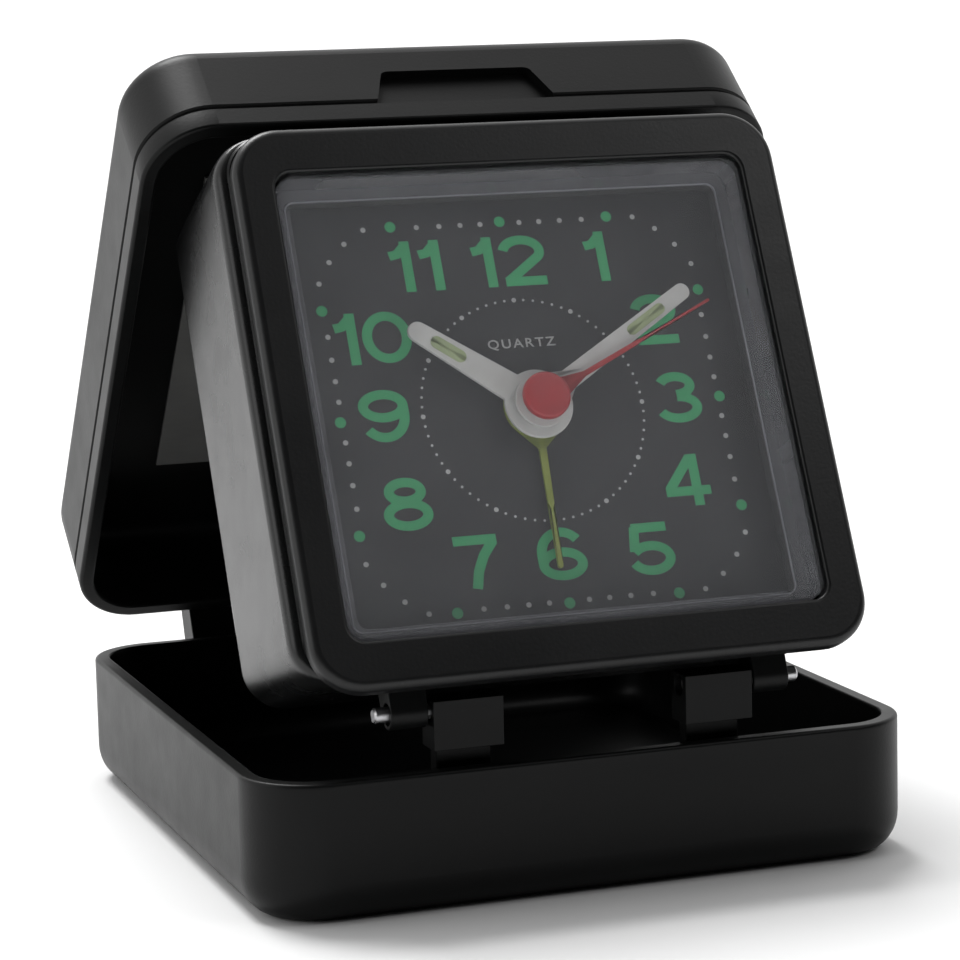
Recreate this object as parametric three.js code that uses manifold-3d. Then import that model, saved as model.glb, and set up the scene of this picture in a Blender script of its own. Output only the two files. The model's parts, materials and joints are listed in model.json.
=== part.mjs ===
// Folding travel alarm clock: a tray base, a hinged lid and a swing-up quartz clock head.
// Millimetres, +Z up. Origin: centre of the tray's underside. The dial faces -Y.
import * as THREE from 'three';
import { mergeVertices } from 'three/addons/utils/BufferGeometryUtils.js';
import Module from 'manifold-3d';

const wasm = await Module();
wasm.setup();

// ---- driving sizes: case -----------------------------------------------------
const CASE_WIDTH = 75;
const CASE_DEPTH = 80;
const CASE_WALL = 1.8;
const CASE_CORNER = 8;
const BASE_HEIGHT = 15.1;
const RIM_CLEARANCE = 0.2;
const LID_OPENING = 52;
const GROOVE_FROM_RIM = 3.2;
const SCOOP_LENGTH = 5.1;
const SCOOP_HALF_WIDTH = 10.6;
const SCOOP_DEPTH = 1.1;

// ---- driving sizes: hinges ---------------------------------------------------
const REAR_AXIS_OUT = 4.6;
const REAR_AXIS_BELOW_RIM = 3.0;
const REAR_BARREL_RADIUS = 2.4;
const REAR_PIN_RADIUS = 1.0;
const REAR_KNUCKLE_HALF = 12.3;
const REAR_ARM_WIDTH = 9.9;
const FRONT_AXIS_IN = 3.75;
const FRONT_AXIS_DROP = 2.23;
const FRONT_AXIS_DEPTH = 6.37;
const FRONT_PIN_RADIUS = 0.85;
const POST_INNER = 10.3;
const POST_WIDTH = 7.7;
const LUG_WIDTH = 4.1;
const LUG_GAP = 0.4;
const PIN_STICKS_OUT = 1.5;
const FIT = 0.3;

// ---- driving sizes: clock head -----------------------------------------------
const HEAD_LEAN = 26;
const HEAD_SIDE_ROOM = 3.1;
const HEAD_END_ROOM = 19.7;
const CEILING_ROOM = 0.53;
const FLOOR_ROOM = 1.27;
const HEAD_WALL = 1.8;
const BACK_WALL = 1.6;
const BEZEL_SIDE = 3.3;
const BEZEL_END = 4.2;
const BEZEL_THICKNESS = 2.0;
const BEZEL_ROUND = 1.0;
const BEZEL_CORNER = 4.5;
const REAR_FLARE = 1.3;
const BOTTOM_RISE = 0.128;
const WINDOW_CORNER = 2.0;
const WINDOW_GAP = 0.25;
const CRYSTAL_FACE = 0.2;
const CRYSTAL_PLATE = 1.3;
const CRYSTAL_SKIRT = 1.3;
const CRYSTAL_DEPTH = 4.3;
const DIAL_DEPTH = 6.95;
const DIAL_THICKNESS = 0.8;
const DIAL_DROP = 0.15;
const SCREW_RADIUS = 0.8;
const SCREW_HEAD_RADIUS = 1.8;

// ---- driving sizes: battery, movement, hands -----------------------------------
const CELL_RADIUS = 7.0;
const CELL_LENGTH = 50.5;
const CELL_FRONT_ROOM = 0.35;
const CELL_BACK_ROOM = 0.4;
const CELL_ABOVE_EDGE = 5.0;
const DOOR_BEYOND_CELL = 1.75;
const MOVEMENT_DEPTH = 12.6;
const MOVEMENT_TO_BACK = 3.4;
const GEAR_MODULE = 0.4;
const SECOND_MODULE = 0.3;
const FAST_MODULE = 0.25;
const TOOTH_REACH = 0.62;
const MINUTE_PINION = 10;
const MOTION_WHEEL = 30;
const MOTION_PINION = 8;
const HOUR_WHEEL = 32;
const ALARM_WHEEL = 30;
const ALARM_PINION = 10;
const SECOND_WHEEL = 40;
const SMALL_PINION = 8;
const FAST_WHEEL = 40;
const SET_AXIS_ANGLE = 144.4;
const MOVE_SKIN = 1.2;
const SHAFT_RADIUS = 0.8;
const KNOB_RADIUS = 5.2;
const SWITCH_TRAVEL = 4;
const HOUR_ANGLE = 306.5;
const MINUTE_ANGLE = 58.3;
const SECOND_ANGLE = 64.7;
const ALARM_ANGLE = 181.8;
const HOUR_LENGTH = 16.4;
const MINUTE_LENGTH = 22.8;
const SECOND_LENGTH = 23.6;
const ALARM_LENGTH = 18.3;

// ---- sizes that follow -------------------------------------------------------
const halfWidth = CASE_WIDTH / 2;
const halfDepth = CASE_DEPTH / 2;
const faceHalf = halfWidth - CASE_WALL - HEAD_SIDE_ROOM - REAR_FLARE - BEZEL_ROUND;
const faceHeight = CASE_DEPTH - HEAD_END_ROOM;
const outerHalf = faceHalf + BEZEL_ROUND;
const wideHalf = outerHalf + REAR_FLARE;
const dialBack = DIAL_DEPTH + DIAL_THICKNESS;
const cellStack = CELL_FRONT_ROOM + 2 * CELL_RADIUS + CELL_BACK_ROOM + BACK_WALL;
const movementStack = CELL_FRONT_ROOM + MOVEMENT_DEPTH + MOVEMENT_TO_BACK;
const headThickness = dialBack + Math.max(cellStack, movementStack);
const closedHeight = headThickness + 2 * CASE_WALL + CEILING_ROOM + FLOOR_ROOM;
const lidRim = BASE_HEIGHT + RIM_CLEARANCE;
const grooveHeight = lidRim + GROOVE_FROM_RIM;
const rearAxis = { y: halfDepth + REAR_AXIS_OUT, z: BASE_HEIGHT - REAR_AXIS_BELOW_RIM };
const frontAxis = {
  y: -halfDepth + FRONT_AXIS_IN,
  z: closedHeight - CASE_WALL - CEILING_ROOM - FRONT_AXIS_DEPTH,
};
const dialCentre = faceHeight / 2 - DIAL_DROP;
const windowHalf = faceHalf - BEZEL_SIDE;
const cellUp = CELL_ABOVE_EDGE + CELL_RADIUS;
const cellIn = headThickness - BACK_WALL - CELL_BACK_ROOM - CELL_RADIUS;
const doorTop = cellUp + CELL_RADIUS + 0.5;
const doorHalf = CELL_LENGTH / 2 + DOOR_BEYOND_CELL;

// ---- materials -------------------------------------------------------------
function finish(name, color, metalness, roughness, opacity = 1) {
  return new THREE.MeshStandardMaterial({
    name, color, metalness, roughness, opacity, transparent: opacity < 1,
  });
}

const blackPlastic = finish('black_plastic', 0x1b1c1d, 0, 0.45);
const clearPlastic = finish('clear_plastic', 0xdfe6ea, 0, 0.05, 0.25);
const dialPaint = finish('dial_paint', 0x47484c, 0, 0.7);
const whitePaint = finish('white_paint', 0xe6e7e2, 0, 0.5);
const redPaint = finish('red_paint', 0xb5252b, 0, 0.45);
const limePaint = finish('lime_paint', 0xa9b23c, 0, 0.5);
const steel = finish('steel', 0xb9bcc0, 1, 0.3);
const brass = finish('brass', 0xb58e48, 1, 0.35);
const copper = finish('copper', 0xa8603a, 1, 0.4);
const naturalPlastic = finish('natural_plastic', 0xd9d6c8, 0, 0.5);
const boardGreen = finish('board_green', 0x2f6b45, 0, 0.6);
const paper = finish('paper', 0xb9bab8, 0, 0.8);
const cellWrap = finish('cell_wrap', 0x3d5a78, 0.2, 0.4);

// ---- scene tree: the tray, the lid in its closed place under a turned hinge, the leaning head --
const radians = THREE.MathUtils.degToRad;
const model = new THREE.Group();
model.name = 'folding_travel_alarm_clock';

const lidHinge = new THREE.Group();
lidHinge.position.set(0, rearAxis.y, rearAxis.z);
lidHinge.rotation.x = -radians(LID_OPENING);
const lid = new THREE.Group();
lid.position.set(0, -rearAxis.y, -rearAxis.z);
lidHinge.add(lid);

// The head's own frame: X across, Y up the face, -Z into the head, zero at the face's lower edge.
const head = new THREE.Group();
const lean = radians(HEAD_LEAN);
head.position.set(
  0,
  frontAxis.y + FRONT_AXIS_DROP * Math.sin(lean) - FRONT_AXIS_DEPTH * Math.cos(lean),
  frontAxis.z + FRONT_AXIS_DROP * Math.cos(lean) + FRONT_AXIS_DEPTH * Math.sin(lean),
);
head.rotation.x = radians(90 - HEAD_LEAN);
model.add(lidHinge, head);

function addPiece(group, name, body, material) {
  const geometry = surface(body);
  geometry.computeVertexNormals();
  const mesh = new THREE.Mesh(geometry, material);
  mesh.name = name;
  group.add(mesh);
}

// ---- building blocks -------------------------------------------------------
const CORNER_STEPS = 7;
const ROUND_STEPS = 28;
const OVERRUN = 1;

// Closed loop of a rounded rectangle, counter-clockwise seen from +Z.
function roundedLoop(halfX, y0, y1, radius, z) {
  const corners = [
    [halfX - radius, y1 - radius, 0],
    [-halfX + radius, y1 - radius, 90],
    [-halfX + radius, y0 + radius, 180],
    [halfX - radius, y0 + radius, 270],
  ];
  const points = [];
  for (const [cx, cy, start] of corners) {
    for (let i = 0; i <= CORNER_STEPS; i++) {
      const a = radians(start + (90 * i) / CORNER_STEPS);
      points.push(new THREE.Vector3(cx + radius * Math.cos(a), cy + radius * Math.sin(a), z));
    }
  }
  return points;
}

function middle(loop) {
  return loop.reduce((sum, p) => sum.add(p), new THREE.Vector3()).divideScalar(loop.length);
}

// Skin through loops of equal length, with a flat cap on the first and the last.
function loft(loops) {
  const count = loops[0].length;
  const vertices = loops.flat();
  const first = vertices.length;
  const top = first - count;
  vertices.push(middle(loops[0]), middle(loops[loops.length - 1]));
  const index = [];
  for (let j = 0; j < count; j++) {
    const k = (j + 1) % count;
    for (let ring = 0; ring < top; ring += count) {
      const [a, b, c, d] = [ring + j, ring + k, ring + k + count, ring + j + count];
      index.push(a, b, c, a, c, d);
    }
    index.push(first, k, j, first + 1, top + j, top + k);
  }
  const geometry = new THREE.BufferGeometry().setFromPoints(vertices);
  geometry.setIndex(index);
  return solid(geometry);
}

function solid(geometry) {
  geometry.deleteAttribute('normal');
  geometry.deleteAttribute('uv');
  const welded = mergeVertices(geometry, 1e-4);
  return new wasm.Manifold(new wasm.Mesh({
    numProp: 3,
    vertProperties: Float32Array.from(welded.attributes.position.array),
    triVerts: Uint32Array.from(welded.index.array),
  }));
}

function surface(body) {
  const mesh = body.getMesh();
  const geometry = new THREE.BufferGeometry();
  const positions = Float32Array.from(mesh.vertProperties);
  geometry.setAttribute('position', new THREE.BufferAttribute(positions, 3));
  geometry.setIndex(new THREE.BufferAttribute(Uint32Array.from(mesh.triVerts), 1));
  return geometry;
}

function block(x0, x1, y0, y1, z0, z1) {
  const geometry = new THREE.BoxGeometry(x1 - x0, y1 - y0, z1 - z0);
  geometry.translate((x0 + x1) / 2, (y0 + y1) / 2, (z0 + z1) / 2);
  return solid(geometry);
}

// Round bar along Z.
function rod(radius, [x, y], z0, z1, steps = ROUND_STEPS) {
  const geometry = new THREE.CylinderGeometry(radius, radius, z1 - z0, steps);
  geometry.rotateX(Math.PI / 2);
  geometry.translate(x, y, (z0 + z1) / 2);
  return solid(geometry);
}

// Round bar along X.
function crossRod(radius, x0, x1, y, z, steps = ROUND_STEPS) {
  const geometry = new THREE.CylinderGeometry(radius, radius, x1 - x0, steps);
  geometry.rotateZ(Math.PI / 2);
  geometry.translate((x0 + x1) / 2, y, z);
  return solid(geometry);
}

// Prism along Z from a flat outline.
function prism(outline, z0, z1) {
  const geometry = new THREE.ExtrudeGeometry(new THREE.Shape(outline), {
    depth: z1 - z0, bevelEnabled: false, curveSegments: 1,
  });
  geometry.translate(0, 0, z0);
  return solid(geometry);
}

// Prism along X from an outline given as (y, z) pairs.
function crossPrism(outline, x0, x1) {
  const geometry = new THREE.ExtrudeGeometry(new THREE.Shape(outline), {
    depth: x1 - x0, bevelEnabled: false, curveSegments: 1,
  });
  geometry.rotateY(Math.PI / 2);
  geometry.rotateX(Math.PI / 2);
  geometry.translate(x0, 0, 0);
  return solid(geometry);
}

const v2 = (x, y) => new THREE.Vector2(x, y);

function circlePoints(cx, cy, radius, steps = 20) {
  return Array.from({ length: steps }, (_, i) => {
    const a = (2 * Math.PI * i) / steps;
    return v2(cx + radius * Math.cos(a), cy + radius * Math.sin(a));
  });
}

// Convex outline around a set of points.
function hull(points) {
  const sorted = [...points].sort((p, q) => p.x - q.x || p.y - q.y);
  const turn = (o, a, b) => (a.x - o.x) * (b.y - o.y) - (a.y - o.y) * (b.x - o.x);
  const chain = (list) => {
    const out = [];
    for (const p of list) {
      while (out.length > 1 && turn(out[out.length - 2], out[out.length - 1], p) <= 1e-9) {
        out.pop();
      }
      out.push(p);
    }
    out.pop();
    return out;
  };
  return [...chain(sorted), ...chain(sorted.reverse())];
}

// A span on one side of the middle: from `inner` to `outer`, mirrored when side is -1.
function span(side, inner, outer) {
  return side > 0 ? [inner, outer] : [-outer, -inner];
}

// ---- tray and lid ----------------------------------------------------------
// Round edges where the side wall turns into the flat face: inset and height above the face.
const BASE_EDGE = [[3.4, 0], [2.2, 0.3], [1.25, 0.85], [0.55, 1.7], [0.15, 2.8], [0, 4.2]];
const LID_EDGE = [[2.6, 0], [1.6, 0.25], [0.8, 0.75], [0.3, 1.5], [0, 2.6]];
const RIM_OUTER_ROUND = 0.35;
const RIM_INNER_ROUND = 0.25;

// One level of the case wall: inset from the widest outline, at height z.
function caseLoop(inset, z) {
  const radius = Math.max(CASE_CORNER - inset, 1.5);
  return roundedLoop(halfWidth - inset, -halfDepth + inset, halfDepth - inset, radius, z);
}

function rearBarrel() {
  return circlePoints(rearAxis.y, rearAxis.z, REAR_BARREL_RADIUS);
}

// Bearing block for one head pin, on a leg that stands on the tray's floor.
function frontPost(side) {
  const halfBlock = FRONT_PIN_RADIUS + 1.1;
  const neck = frontAxis.z - 4.0;
  const [x0, x1] = span(side, POST_INNER, POST_INNER + POST_WIDTH);
  const bearing = block(
    x0, x1, frontAxis.y - halfBlock, frontAxis.y + halfBlock, neck, frontAxis.z + 1.3,
  );
  const leg = block(
    x0 + 0.8, x1 - 0.8, frontAxis.y, frontAxis.y + halfBlock, CASE_WALL / 2, neck + 0.4,
  );
  return bearing.add(leg);
}

function buildTray() {
  const outer = BASE_EDGE.map(([inset, z]) => caseLoop(inset, z));
  const rim = [
    caseLoop(0, BASE_HEIGHT - RIM_OUTER_ROUND),
    caseLoop(RIM_OUTER_ROUND, BASE_HEIGHT),
    caseLoop(CASE_WALL - RIM_INNER_ROUND, BASE_HEIGHT),
    caseLoop(CASE_WALL, BASE_HEIGHT - RIM_INNER_ROUND),
  ];
  const inner = [
    caseLoop(CASE_WALL, CASE_WALL + 2.8),
    caseLoop(CASE_WALL + 0.7, CASE_WALL + 1.1),
    caseLoop(CASE_WALL + 2.2, CASE_WALL),
  ];
  const wall = halfDepth - CASE_WALL / 2;
  const root = [wall, halfDepth].flatMap((y) => [v2(y, rearAxis.z - 6), v2(y, rearAxis.z + 2)]);
  const knuckle = crossPrism(
    hull([...rearBarrel(), ...root]), -REAR_KNUCKLE_HALF, REAR_KNUCKLE_HALF,
  );
  return loft([...outer, ...rim, ...inner])
    .add(knuckle)
    .add(frontPost(1))
    .add(frontPost(-1))
    .subtract(crossRod(REAR_PIN_RADIUS + FIT, -halfWidth, halfWidth, rearAxis.y, rearAxis.z))
    .subtract(crossRod(FRONT_PIN_RADIUS + FIT, -halfWidth / 2, halfWidth / 2, frontAxis.y, frontAxis.z));
}

function lidArm(side) {
  const wall = halfDepth - CASE_WALL / 2;
  const profile = hull([
    ...rearBarrel(),
    v2(wall, lidRim + 2.2), v2(wall, lidRim + 6.7), v2(halfDepth + 1.4, lidRim + 5.9),
  ]);
  const inner = REAR_KNUCKLE_HALF + FIT;
  return crossPrism(profile, ...span(side, inner, inner + REAR_ARM_WIDTH));
}

// Shallow scoop in the lid's front wall for a thumb, wider towards the rim.
function fingerScoop() {
  const low = grooveHeight;
  const high = grooveHeight + SCOOP_LENGTH;
  const reach = SCOOP_HALF_WIDTH;
  const right = [
    v2(reach, low), v2(reach - 1.3, high - 0.9), v2(reach - 1.9, high - 0.2), v2(reach - 2.6, high),
  ];
  const left = right.map((p) => v2(-p.x, p.y)).reverse();
  const geometry = new THREE.ExtrudeGeometry(new THREE.Shape([...right, ...left]), {
    depth: SCOOP_DEPTH + OVERRUN, bevelEnabled: false,
  });
  geometry.rotateX(Math.PI / 2);
  geometry.translate(0, -halfDepth + SCOOP_DEPTH, 0);
  return solid(geometry);
}

function buildLid() {
  const ceiling = closedHeight - CASE_WALL;
  const inner = [
    caseLoop(CASE_WALL + 1.8, ceiling),
    caseLoop(CASE_WALL + 0.6, ceiling - 0.6),
    caseLoop(CASE_WALL, ceiling - 1.8),
  ];
  const rim = [
    caseLoop(CASE_WALL, lidRim + RIM_INNER_ROUND),
    caseLoop(CASE_WALL - RIM_INNER_ROUND, lidRim),
    caseLoop(RIM_OUTER_ROUND, lidRim),
    caseLoop(0, lidRim + RIM_OUTER_ROUND),
  ];
  const groove = [[0, -0.35], [0.35, -0.2], [0.35, 0.2], [0, 0.35]]
    .map(([inset, dz]) => caseLoop(inset, grooveHeight + dz));
  const outer = [...LID_EDGE].reverse().map(([inset, z]) => caseLoop(inset, closedHeight - z));
  return loft([...inner, ...rim, ...groove, ...outer])
    .subtract(fingerScoop())
    .add(lidArm(1))
    .add(lidArm(-1))
    .subtract(crossRod(REAR_PIN_RADIUS + FIT, -halfWidth, halfWidth, rearAxis.y, rearAxis.z));
}

function buildLidPin() {
  const half = REAR_KNUCKLE_HALF + FIT + REAR_ARM_WIDTH - 0.2;
  return crossRod(REAR_PIN_RADIUS, -half, half, rearAxis.y, rearAxis.z);
}

function buildHeadPin(side) {
  const outer = POST_INNER + POST_WIDTH + LUG_GAP + LUG_WIDTH + PIN_STICKS_OUT;
  const [x0, x1] = span(side, POST_INNER + 0.6, outer);
  return crossRod(FRONT_PIN_RADIUS, x0, x1, frontAxis.y, frontAxis.z);
}

function buildLabel() {
  const top = closedHeight - CASE_WALL - 0.1;
  return block(
    -halfWidth + 11.5, halfWidth - 11.5, -halfDepth + 18, halfDepth - 14.6, top - FIT, top,
  );
}

addPiece(model, 'base_tray', buildTray(), blackPlastic);
addPiece(lid, 'lid_shell', buildLid(), blackPlastic);
addPiece(model, 'lid_hinge_pin', buildLidPin(), steel);
addPiece(model, 'hinge_pin_left', buildHeadPin(-1), steel);
addPiece(model, 'hinge_pin_right', buildHeadPin(1), steel);
addPiece(lid, 'lid_label', buildLabel(), paper);

// ---- clock head shell --------------------------------------------------------
const BEZEL_BOSS_RADIUS = 1.5;
const BACK_BOSS_RADIUS = 2.9;
const BOSS_MEET_DEPTH = dialBack + 0.25;
const boltX = faceHalf - 1.8;
const boltSpots = [doorTop + 3.3, faceHeight - 3.7].flatMap((y) => [[-boltX, y], [boltX, y]]);

// Level of the bezel's outside: grown by `grow` around the flat face, at depth t.
function bezelLoop(grow, t) {
  return roundedLoop(faceHalf + grow, -grow, faceHeight + grow, BEZEL_CORNER + grow, -t);
}

// Level inside the window: shrunk by `inset`, at depth t.
function windowLoop(inset, t) {
  const radius = Math.max(WINDOW_CORNER - inset * 0.5, 0.8);
  return roundedLoop(windowHalf - inset, BEZEL_END + inset, faceHeight - BEZEL_END - inset, radius, -t);
}

function buildBezel() {
  const shell = loft([
    bezelLoop(BEZEL_ROUND, BEZEL_THICKNESS),
    bezelLoop(BEZEL_ROUND, BEZEL_THICKNESS / 2),
    bezelLoop(BEZEL_ROUND * 0.7, 0.3),
    bezelLoop(BEZEL_ROUND * 0.3, 0.06),
    bezelLoop(0, 0),
  ]);
  const opening = loft([
    windowLoop(0, BEZEL_THICKNESS + OVERRUN), windowLoop(0, 0.4), windowLoop(-0.4, -0.2),
  ]);
  let body = shell.subtract(opening);
  for (const spot of boltSpots) {
    const end = -BOSS_MEET_DEPTH;
    body = body.add(rod(BEZEL_BOSS_RADIUS, spot, end, -BEZEL_THICKNESS + 0.5));
    body = body.subtract(rod(SCREW_RADIUS + 0.25, spot, end - OVERRUN, -BEZEL_THICKNESS - 0.4));
  }
  return body;
}

// Depth t of the underside's edge: it climbs with depth so the head can swing down.
const rearLow = (t) => 0.6 + (t - BEZEL_THICKNESS - 0.2) * BOTTOM_RISE;

// Level of the rear shell: `shrink` from the outline all round, at depth t.
function rearLoop(halfX, shrink, radius, t) {
  const high = faceHeight + BEZEL_ROUND - shrink;
  return roundedLoop(halfX - shrink, rearLow(t) + shrink, high, radius, -t);
}

function frontLug(side) {
  const axisZ = -FRONT_AXIS_DEPTH;
  const root = rearLow(FRONT_AXIS_DEPTH) + 1.0;
  const profile = hull([
    ...circlePoints(-FRONT_AXIS_DROP, axisZ, FRONT_PIN_RADIUS + FIT + 0.5),
    v2(root, axisZ - 1.9), v2(root, axisZ + 1.9),
  ]);
  const inner = POST_INNER + POST_WIDTH + LUG_GAP;
  return crossPrism(profile, ...span(side, inner, inner + LUG_WIDTH));
}

const trainDistance = (GEAR_MODULE * (MINUTE_PINION + MOTION_WHEEL)) / 2;
const handAxis = [0, dialCentre];
const timeAxis = [
  trainDistance * Math.cos(radians(SET_AXIS_ANGLE)),
  dialCentre + trainDistance * Math.sin(radians(SET_AXIS_ANGLE)),
];
const alarmAxis = [-timeAxis[0], timeAxis[1]];
const switchX = faceHalf - 9.3;
const switchTop = dialCentre + 7.0;
const moveRight = alarmAxis[0] + GEAR_MODULE * (ALARM_PINION / 2 + TOOTH_REACH) + 1.55 + MOVE_SKIN;
const buzzerSpot = [(moveRight + wideHalf - HEAD_WALL) / 2, dialCentre + 16];
const back = -headThickness;
const KNOB_RECESS_GAP = 0.5;
const SOUND_SLOTS = 5;

function soundSlots() {
  const [x, y] = buzzerSpot;
  return Array.from({ length: SOUND_SLOTS }, (_, i) => {
    const row = i - (SOUND_SLOTS - 1) / 2;
    const reach = 6.5 - Math.abs(row) * 1.3;
    const up = y + row * 2.6;
    return block(x - reach, x + reach, up - 0.5, up + 0.5, back - OVERRUN, back + BACK_WALL + OVERRUN);
  });
}

function buildRearCase() {
  const cut = back + BACK_WALL + OVERRUN;
  const flat = headThickness - 1.5;
  let body = loft([
    rearLoop(wideHalf, 1.5, 3.0, headThickness),
    rearLoop(wideHalf, 0.5, 4.0, headThickness - 0.5),
    rearLoop(wideHalf, 0, 4.5, flat),
    rearLoop(wideHalf, 0, 4.5, BEZEL_THICKNESS + 2.0),
    rearLoop(outerHalf + 0.1, 0, 4.8, BEZEL_THICKNESS + 0.2),
    rearLoop(outerHalf, 1.0, 3.8, BEZEL_THICKNESS + 0.2),
    rearLoop(wideHalf, HEAD_WALL, 3.0, BEZEL_THICKNESS + 2.0),
    rearLoop(wideHalf, HEAD_WALL, 3.0, headThickness - BACK_WALL),
  ]);
  for (const spot of boltSpots) {
    body = body
      .add(rod(BACK_BOSS_RADIUS, spot, back + BACK_WALL / 2, -BOSS_MEET_DEPTH - FIT))
      .subtract(rod(SCREW_RADIUS + 0.25, spot, back - OVERRUN, -BOSS_MEET_DEPTH))
      .subtract(rod(SCREW_HEAD_RADIUS + FIT, spot, back - OVERRUN, back + 2.0));
  }
  const bayHalf = doorHalf + FIT;
  body = body
    .add(frontLug(1))
    .add(frontLug(-1))
    .subtract(crossRod(
      FRONT_PIN_RADIUS + FIT, -halfWidth, halfWidth, -FRONT_AXIS_DROP, -FRONT_AXIS_DEPTH,
    ))
    .subtract(block(-bayHalf, bayHalf, -3, doorTop, back - OVERRUN, back + BACK_WALL + 0.3))
    .subtract(block(
      switchX - 2.1, switchX + 2.1, switchTop - SWITCH_TRAVEL * 2 - 0.4, switchTop + 0.4,
      back - OVERRUN, cut,
    ));
  for (const spot of [timeAxis, alarmAxis]) {
    body = body.subtract(rod(KNOB_RADIUS + KNOB_RECESS_GAP, spot, back - OVERRUN, cut));
  }
  return soundSlots().reduce((shell, slot) => shell.subtract(slot), body);
}

// Clear window with a skirt that reaches back towards the dial.
function buildCrystal() {
  const plateBack = CRYSTAL_FACE + CRYSTAL_PLATE;
  return loft([
    windowLoop(WINDOW_GAP + CRYSTAL_SKIRT, plateBack),
    windowLoop(WINDOW_GAP + CRYSTAL_SKIRT + 0.25, CRYSTAL_DEPTH),
    windowLoop(WINDOW_GAP, CRYSTAL_DEPTH),
    windowLoop(WINDOW_GAP, CRYSTAL_FACE + 0.3),
    windowLoop(WINDOW_GAP + 0.3, CRYSTAL_FACE),
  ]);
}

function buildSurround() {
  const front = CRYSTAL_DEPTH + FIT;
  const rear = DIAL_DEPTH - FIT;
  const hole = WINDOW_GAP + CRYSTAL_SKIRT + 0.1;
  return loft([windowLoop(WINDOW_GAP, rear), windowLoop(WINDOW_GAP, front)])
    .subtract(loft([windowLoop(hole, rear + OVERRUN), windowLoop(hole, front - OVERRUN)]));
}

function buildDial() {
  return loft([windowLoop(WINDOW_GAP, dialBack), windowLoop(WINDOW_GAP, DIAL_DEPTH)])
    .subtract(rod(3.1, handAxis, -dialBack - OVERRUN, -DIAL_DEPTH + OVERRUN));
}

function caseScrew([x, y]) {
  const slot = back + 1.0;
  return rod(SCREW_HEAD_RADIUS, [x, y], back + 0.4, back + 1.8)
    .add(rod(SCREW_RADIUS, [x, y], back + 1.6, -BEZEL_THICKNESS - 0.7, 14))
    .subtract(block(x - 1.3, x + 1.3, y - 0.22, y + 0.22, back, slot))
    .subtract(block(x - 0.22, x + 0.22, y - 1.3, y + 1.3, back, slot));
}

// Cover of the battery bay, with two thumb ribs; it slides down off the case edge.
function buildDoor() {
  const low = rearLow(headThickness) + 0.4;
  const high = doorTop - FIT;
  const plate = block(-doorHalf, doorHalf, low, high, back + 0.35, back + BACK_WALL);
  return [4.8, 3.0].reduce(
    (body, fromTop) => body.add(block(-6, 6, high - fromTop, high - fromTop + 0.8, back + 0.1, back + 0.6)),
    plate,
  );
}

function buildKnob([x, y]) {
  const grip = KNOB_RADIUS - 0.6;
  return rod(KNOB_RADIUS, [x, y], back + 0.9, back + 2.7)
    .subtract(rod(KNOB_RADIUS - 1.0, [x, y], back, back + 1.5))
    .add(block(x - grip, x + grip, y - 0.8, y + 0.8, back + 0.3, back + 1.8));
}

function buildSwitch() {
  const finger = block(
    switchX - 1.8, switchX + 1.8, switchTop - SWITCH_TRAVEL, switchTop, back + 0.3, back + 2.2,
  );
  const plate = block(
    switchX - 3, switchX + 3, switchTop - SWITCH_TRAVEL - 1, switchTop + 1, back + 1.9, back + 2.8,
  );
  return finger.add(plate);
}

addPiece(head, 'bezel', buildBezel(), blackPlastic);
addPiece(head, 'crystal', buildCrystal(), clearPlastic);
addPiece(head, 'dial_surround', buildSurround(), dialPaint);
addPiece(head, 'dial', buildDial(), dialPaint);
addPiece(head, 'rear_case', buildRearCase(), blackPlastic);
boltSpots.forEach((spot, i) => addPiece(head, `case_screw_${i + 1}`, caseScrew(spot), steel));
addPiece(head, 'battery_door', buildDoor(), blackPlastic);
addPiece(head, 'time_set_knob', buildKnob(timeAxis), blackPlastic);
addPiece(head, 'alarm_set_knob', buildKnob(alarmAxis), blackPlastic);
addPiece(head, 'alarm_switch', buildSwitch(), redPaint);

// ---- power -----------------------------------------------------------------
const cellHalf = CELL_LENGTH / 2;
const SPRING_TURNS = 2.6;
const SPRING_POINTS = 52;
const SPRING_LENGTH = 2.4;
const WIRE_RADIUS = 0.3;

function buildCell() {
  return crossRod(CELL_RADIUS, -cellHalf, cellHalf - 1, cellUp, -cellIn, 36)
    .add(crossRod(2.7, cellHalf - 1.5, cellHalf, cellUp, -cellIn, 20));
}

// Conical coil that presses on the cell's flat end.
function buildSpring() {
  const start = -cellHalf - WIRE_RADIUS - FIT - SPRING_LENGTH - 0.1;
  const path = Array.from({ length: SPRING_POINTS + 1 }, (_, i) => {
    const u = i / SPRING_POINTS;
    const a = u * SPRING_TURNS * 2 * Math.PI;
    const radius = 4.2 - 1.6 * u;
    return new THREE.Vector3(
      start + SPRING_LENGTH * u, cellUp + radius * Math.cos(a), -cellIn + radius * Math.sin(a),
    );
  });
  const wire = new THREE.Shape(circlePoints(0, 0, WIRE_RADIUS, 7));
  return solid(new THREE.ExtrudeGeometry(wire, {
    steps: 80, bevelEnabled: false, extrudePath: new THREE.CatmullRomCurve3(path),
  }));
}

function buildContact() {
  const x = cellHalf + FIT;
  const half = 4.5;
  return block(x, x + 0.5, cellUp - half, cellUp + half, -cellIn - half, -cellIn + half)
    .add(block(x, x + 1.6, cellUp + half - 0.6, cellUp + half, -cellIn - 2, -cellIn + 2));
}

addPiece(head, 'battery_cell', buildCell(), cellWrap);
addPiece(head, 'battery_spring', buildSpring(), steel);
addPiece(head, 'battery_contact', buildContact(), steel);

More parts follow.
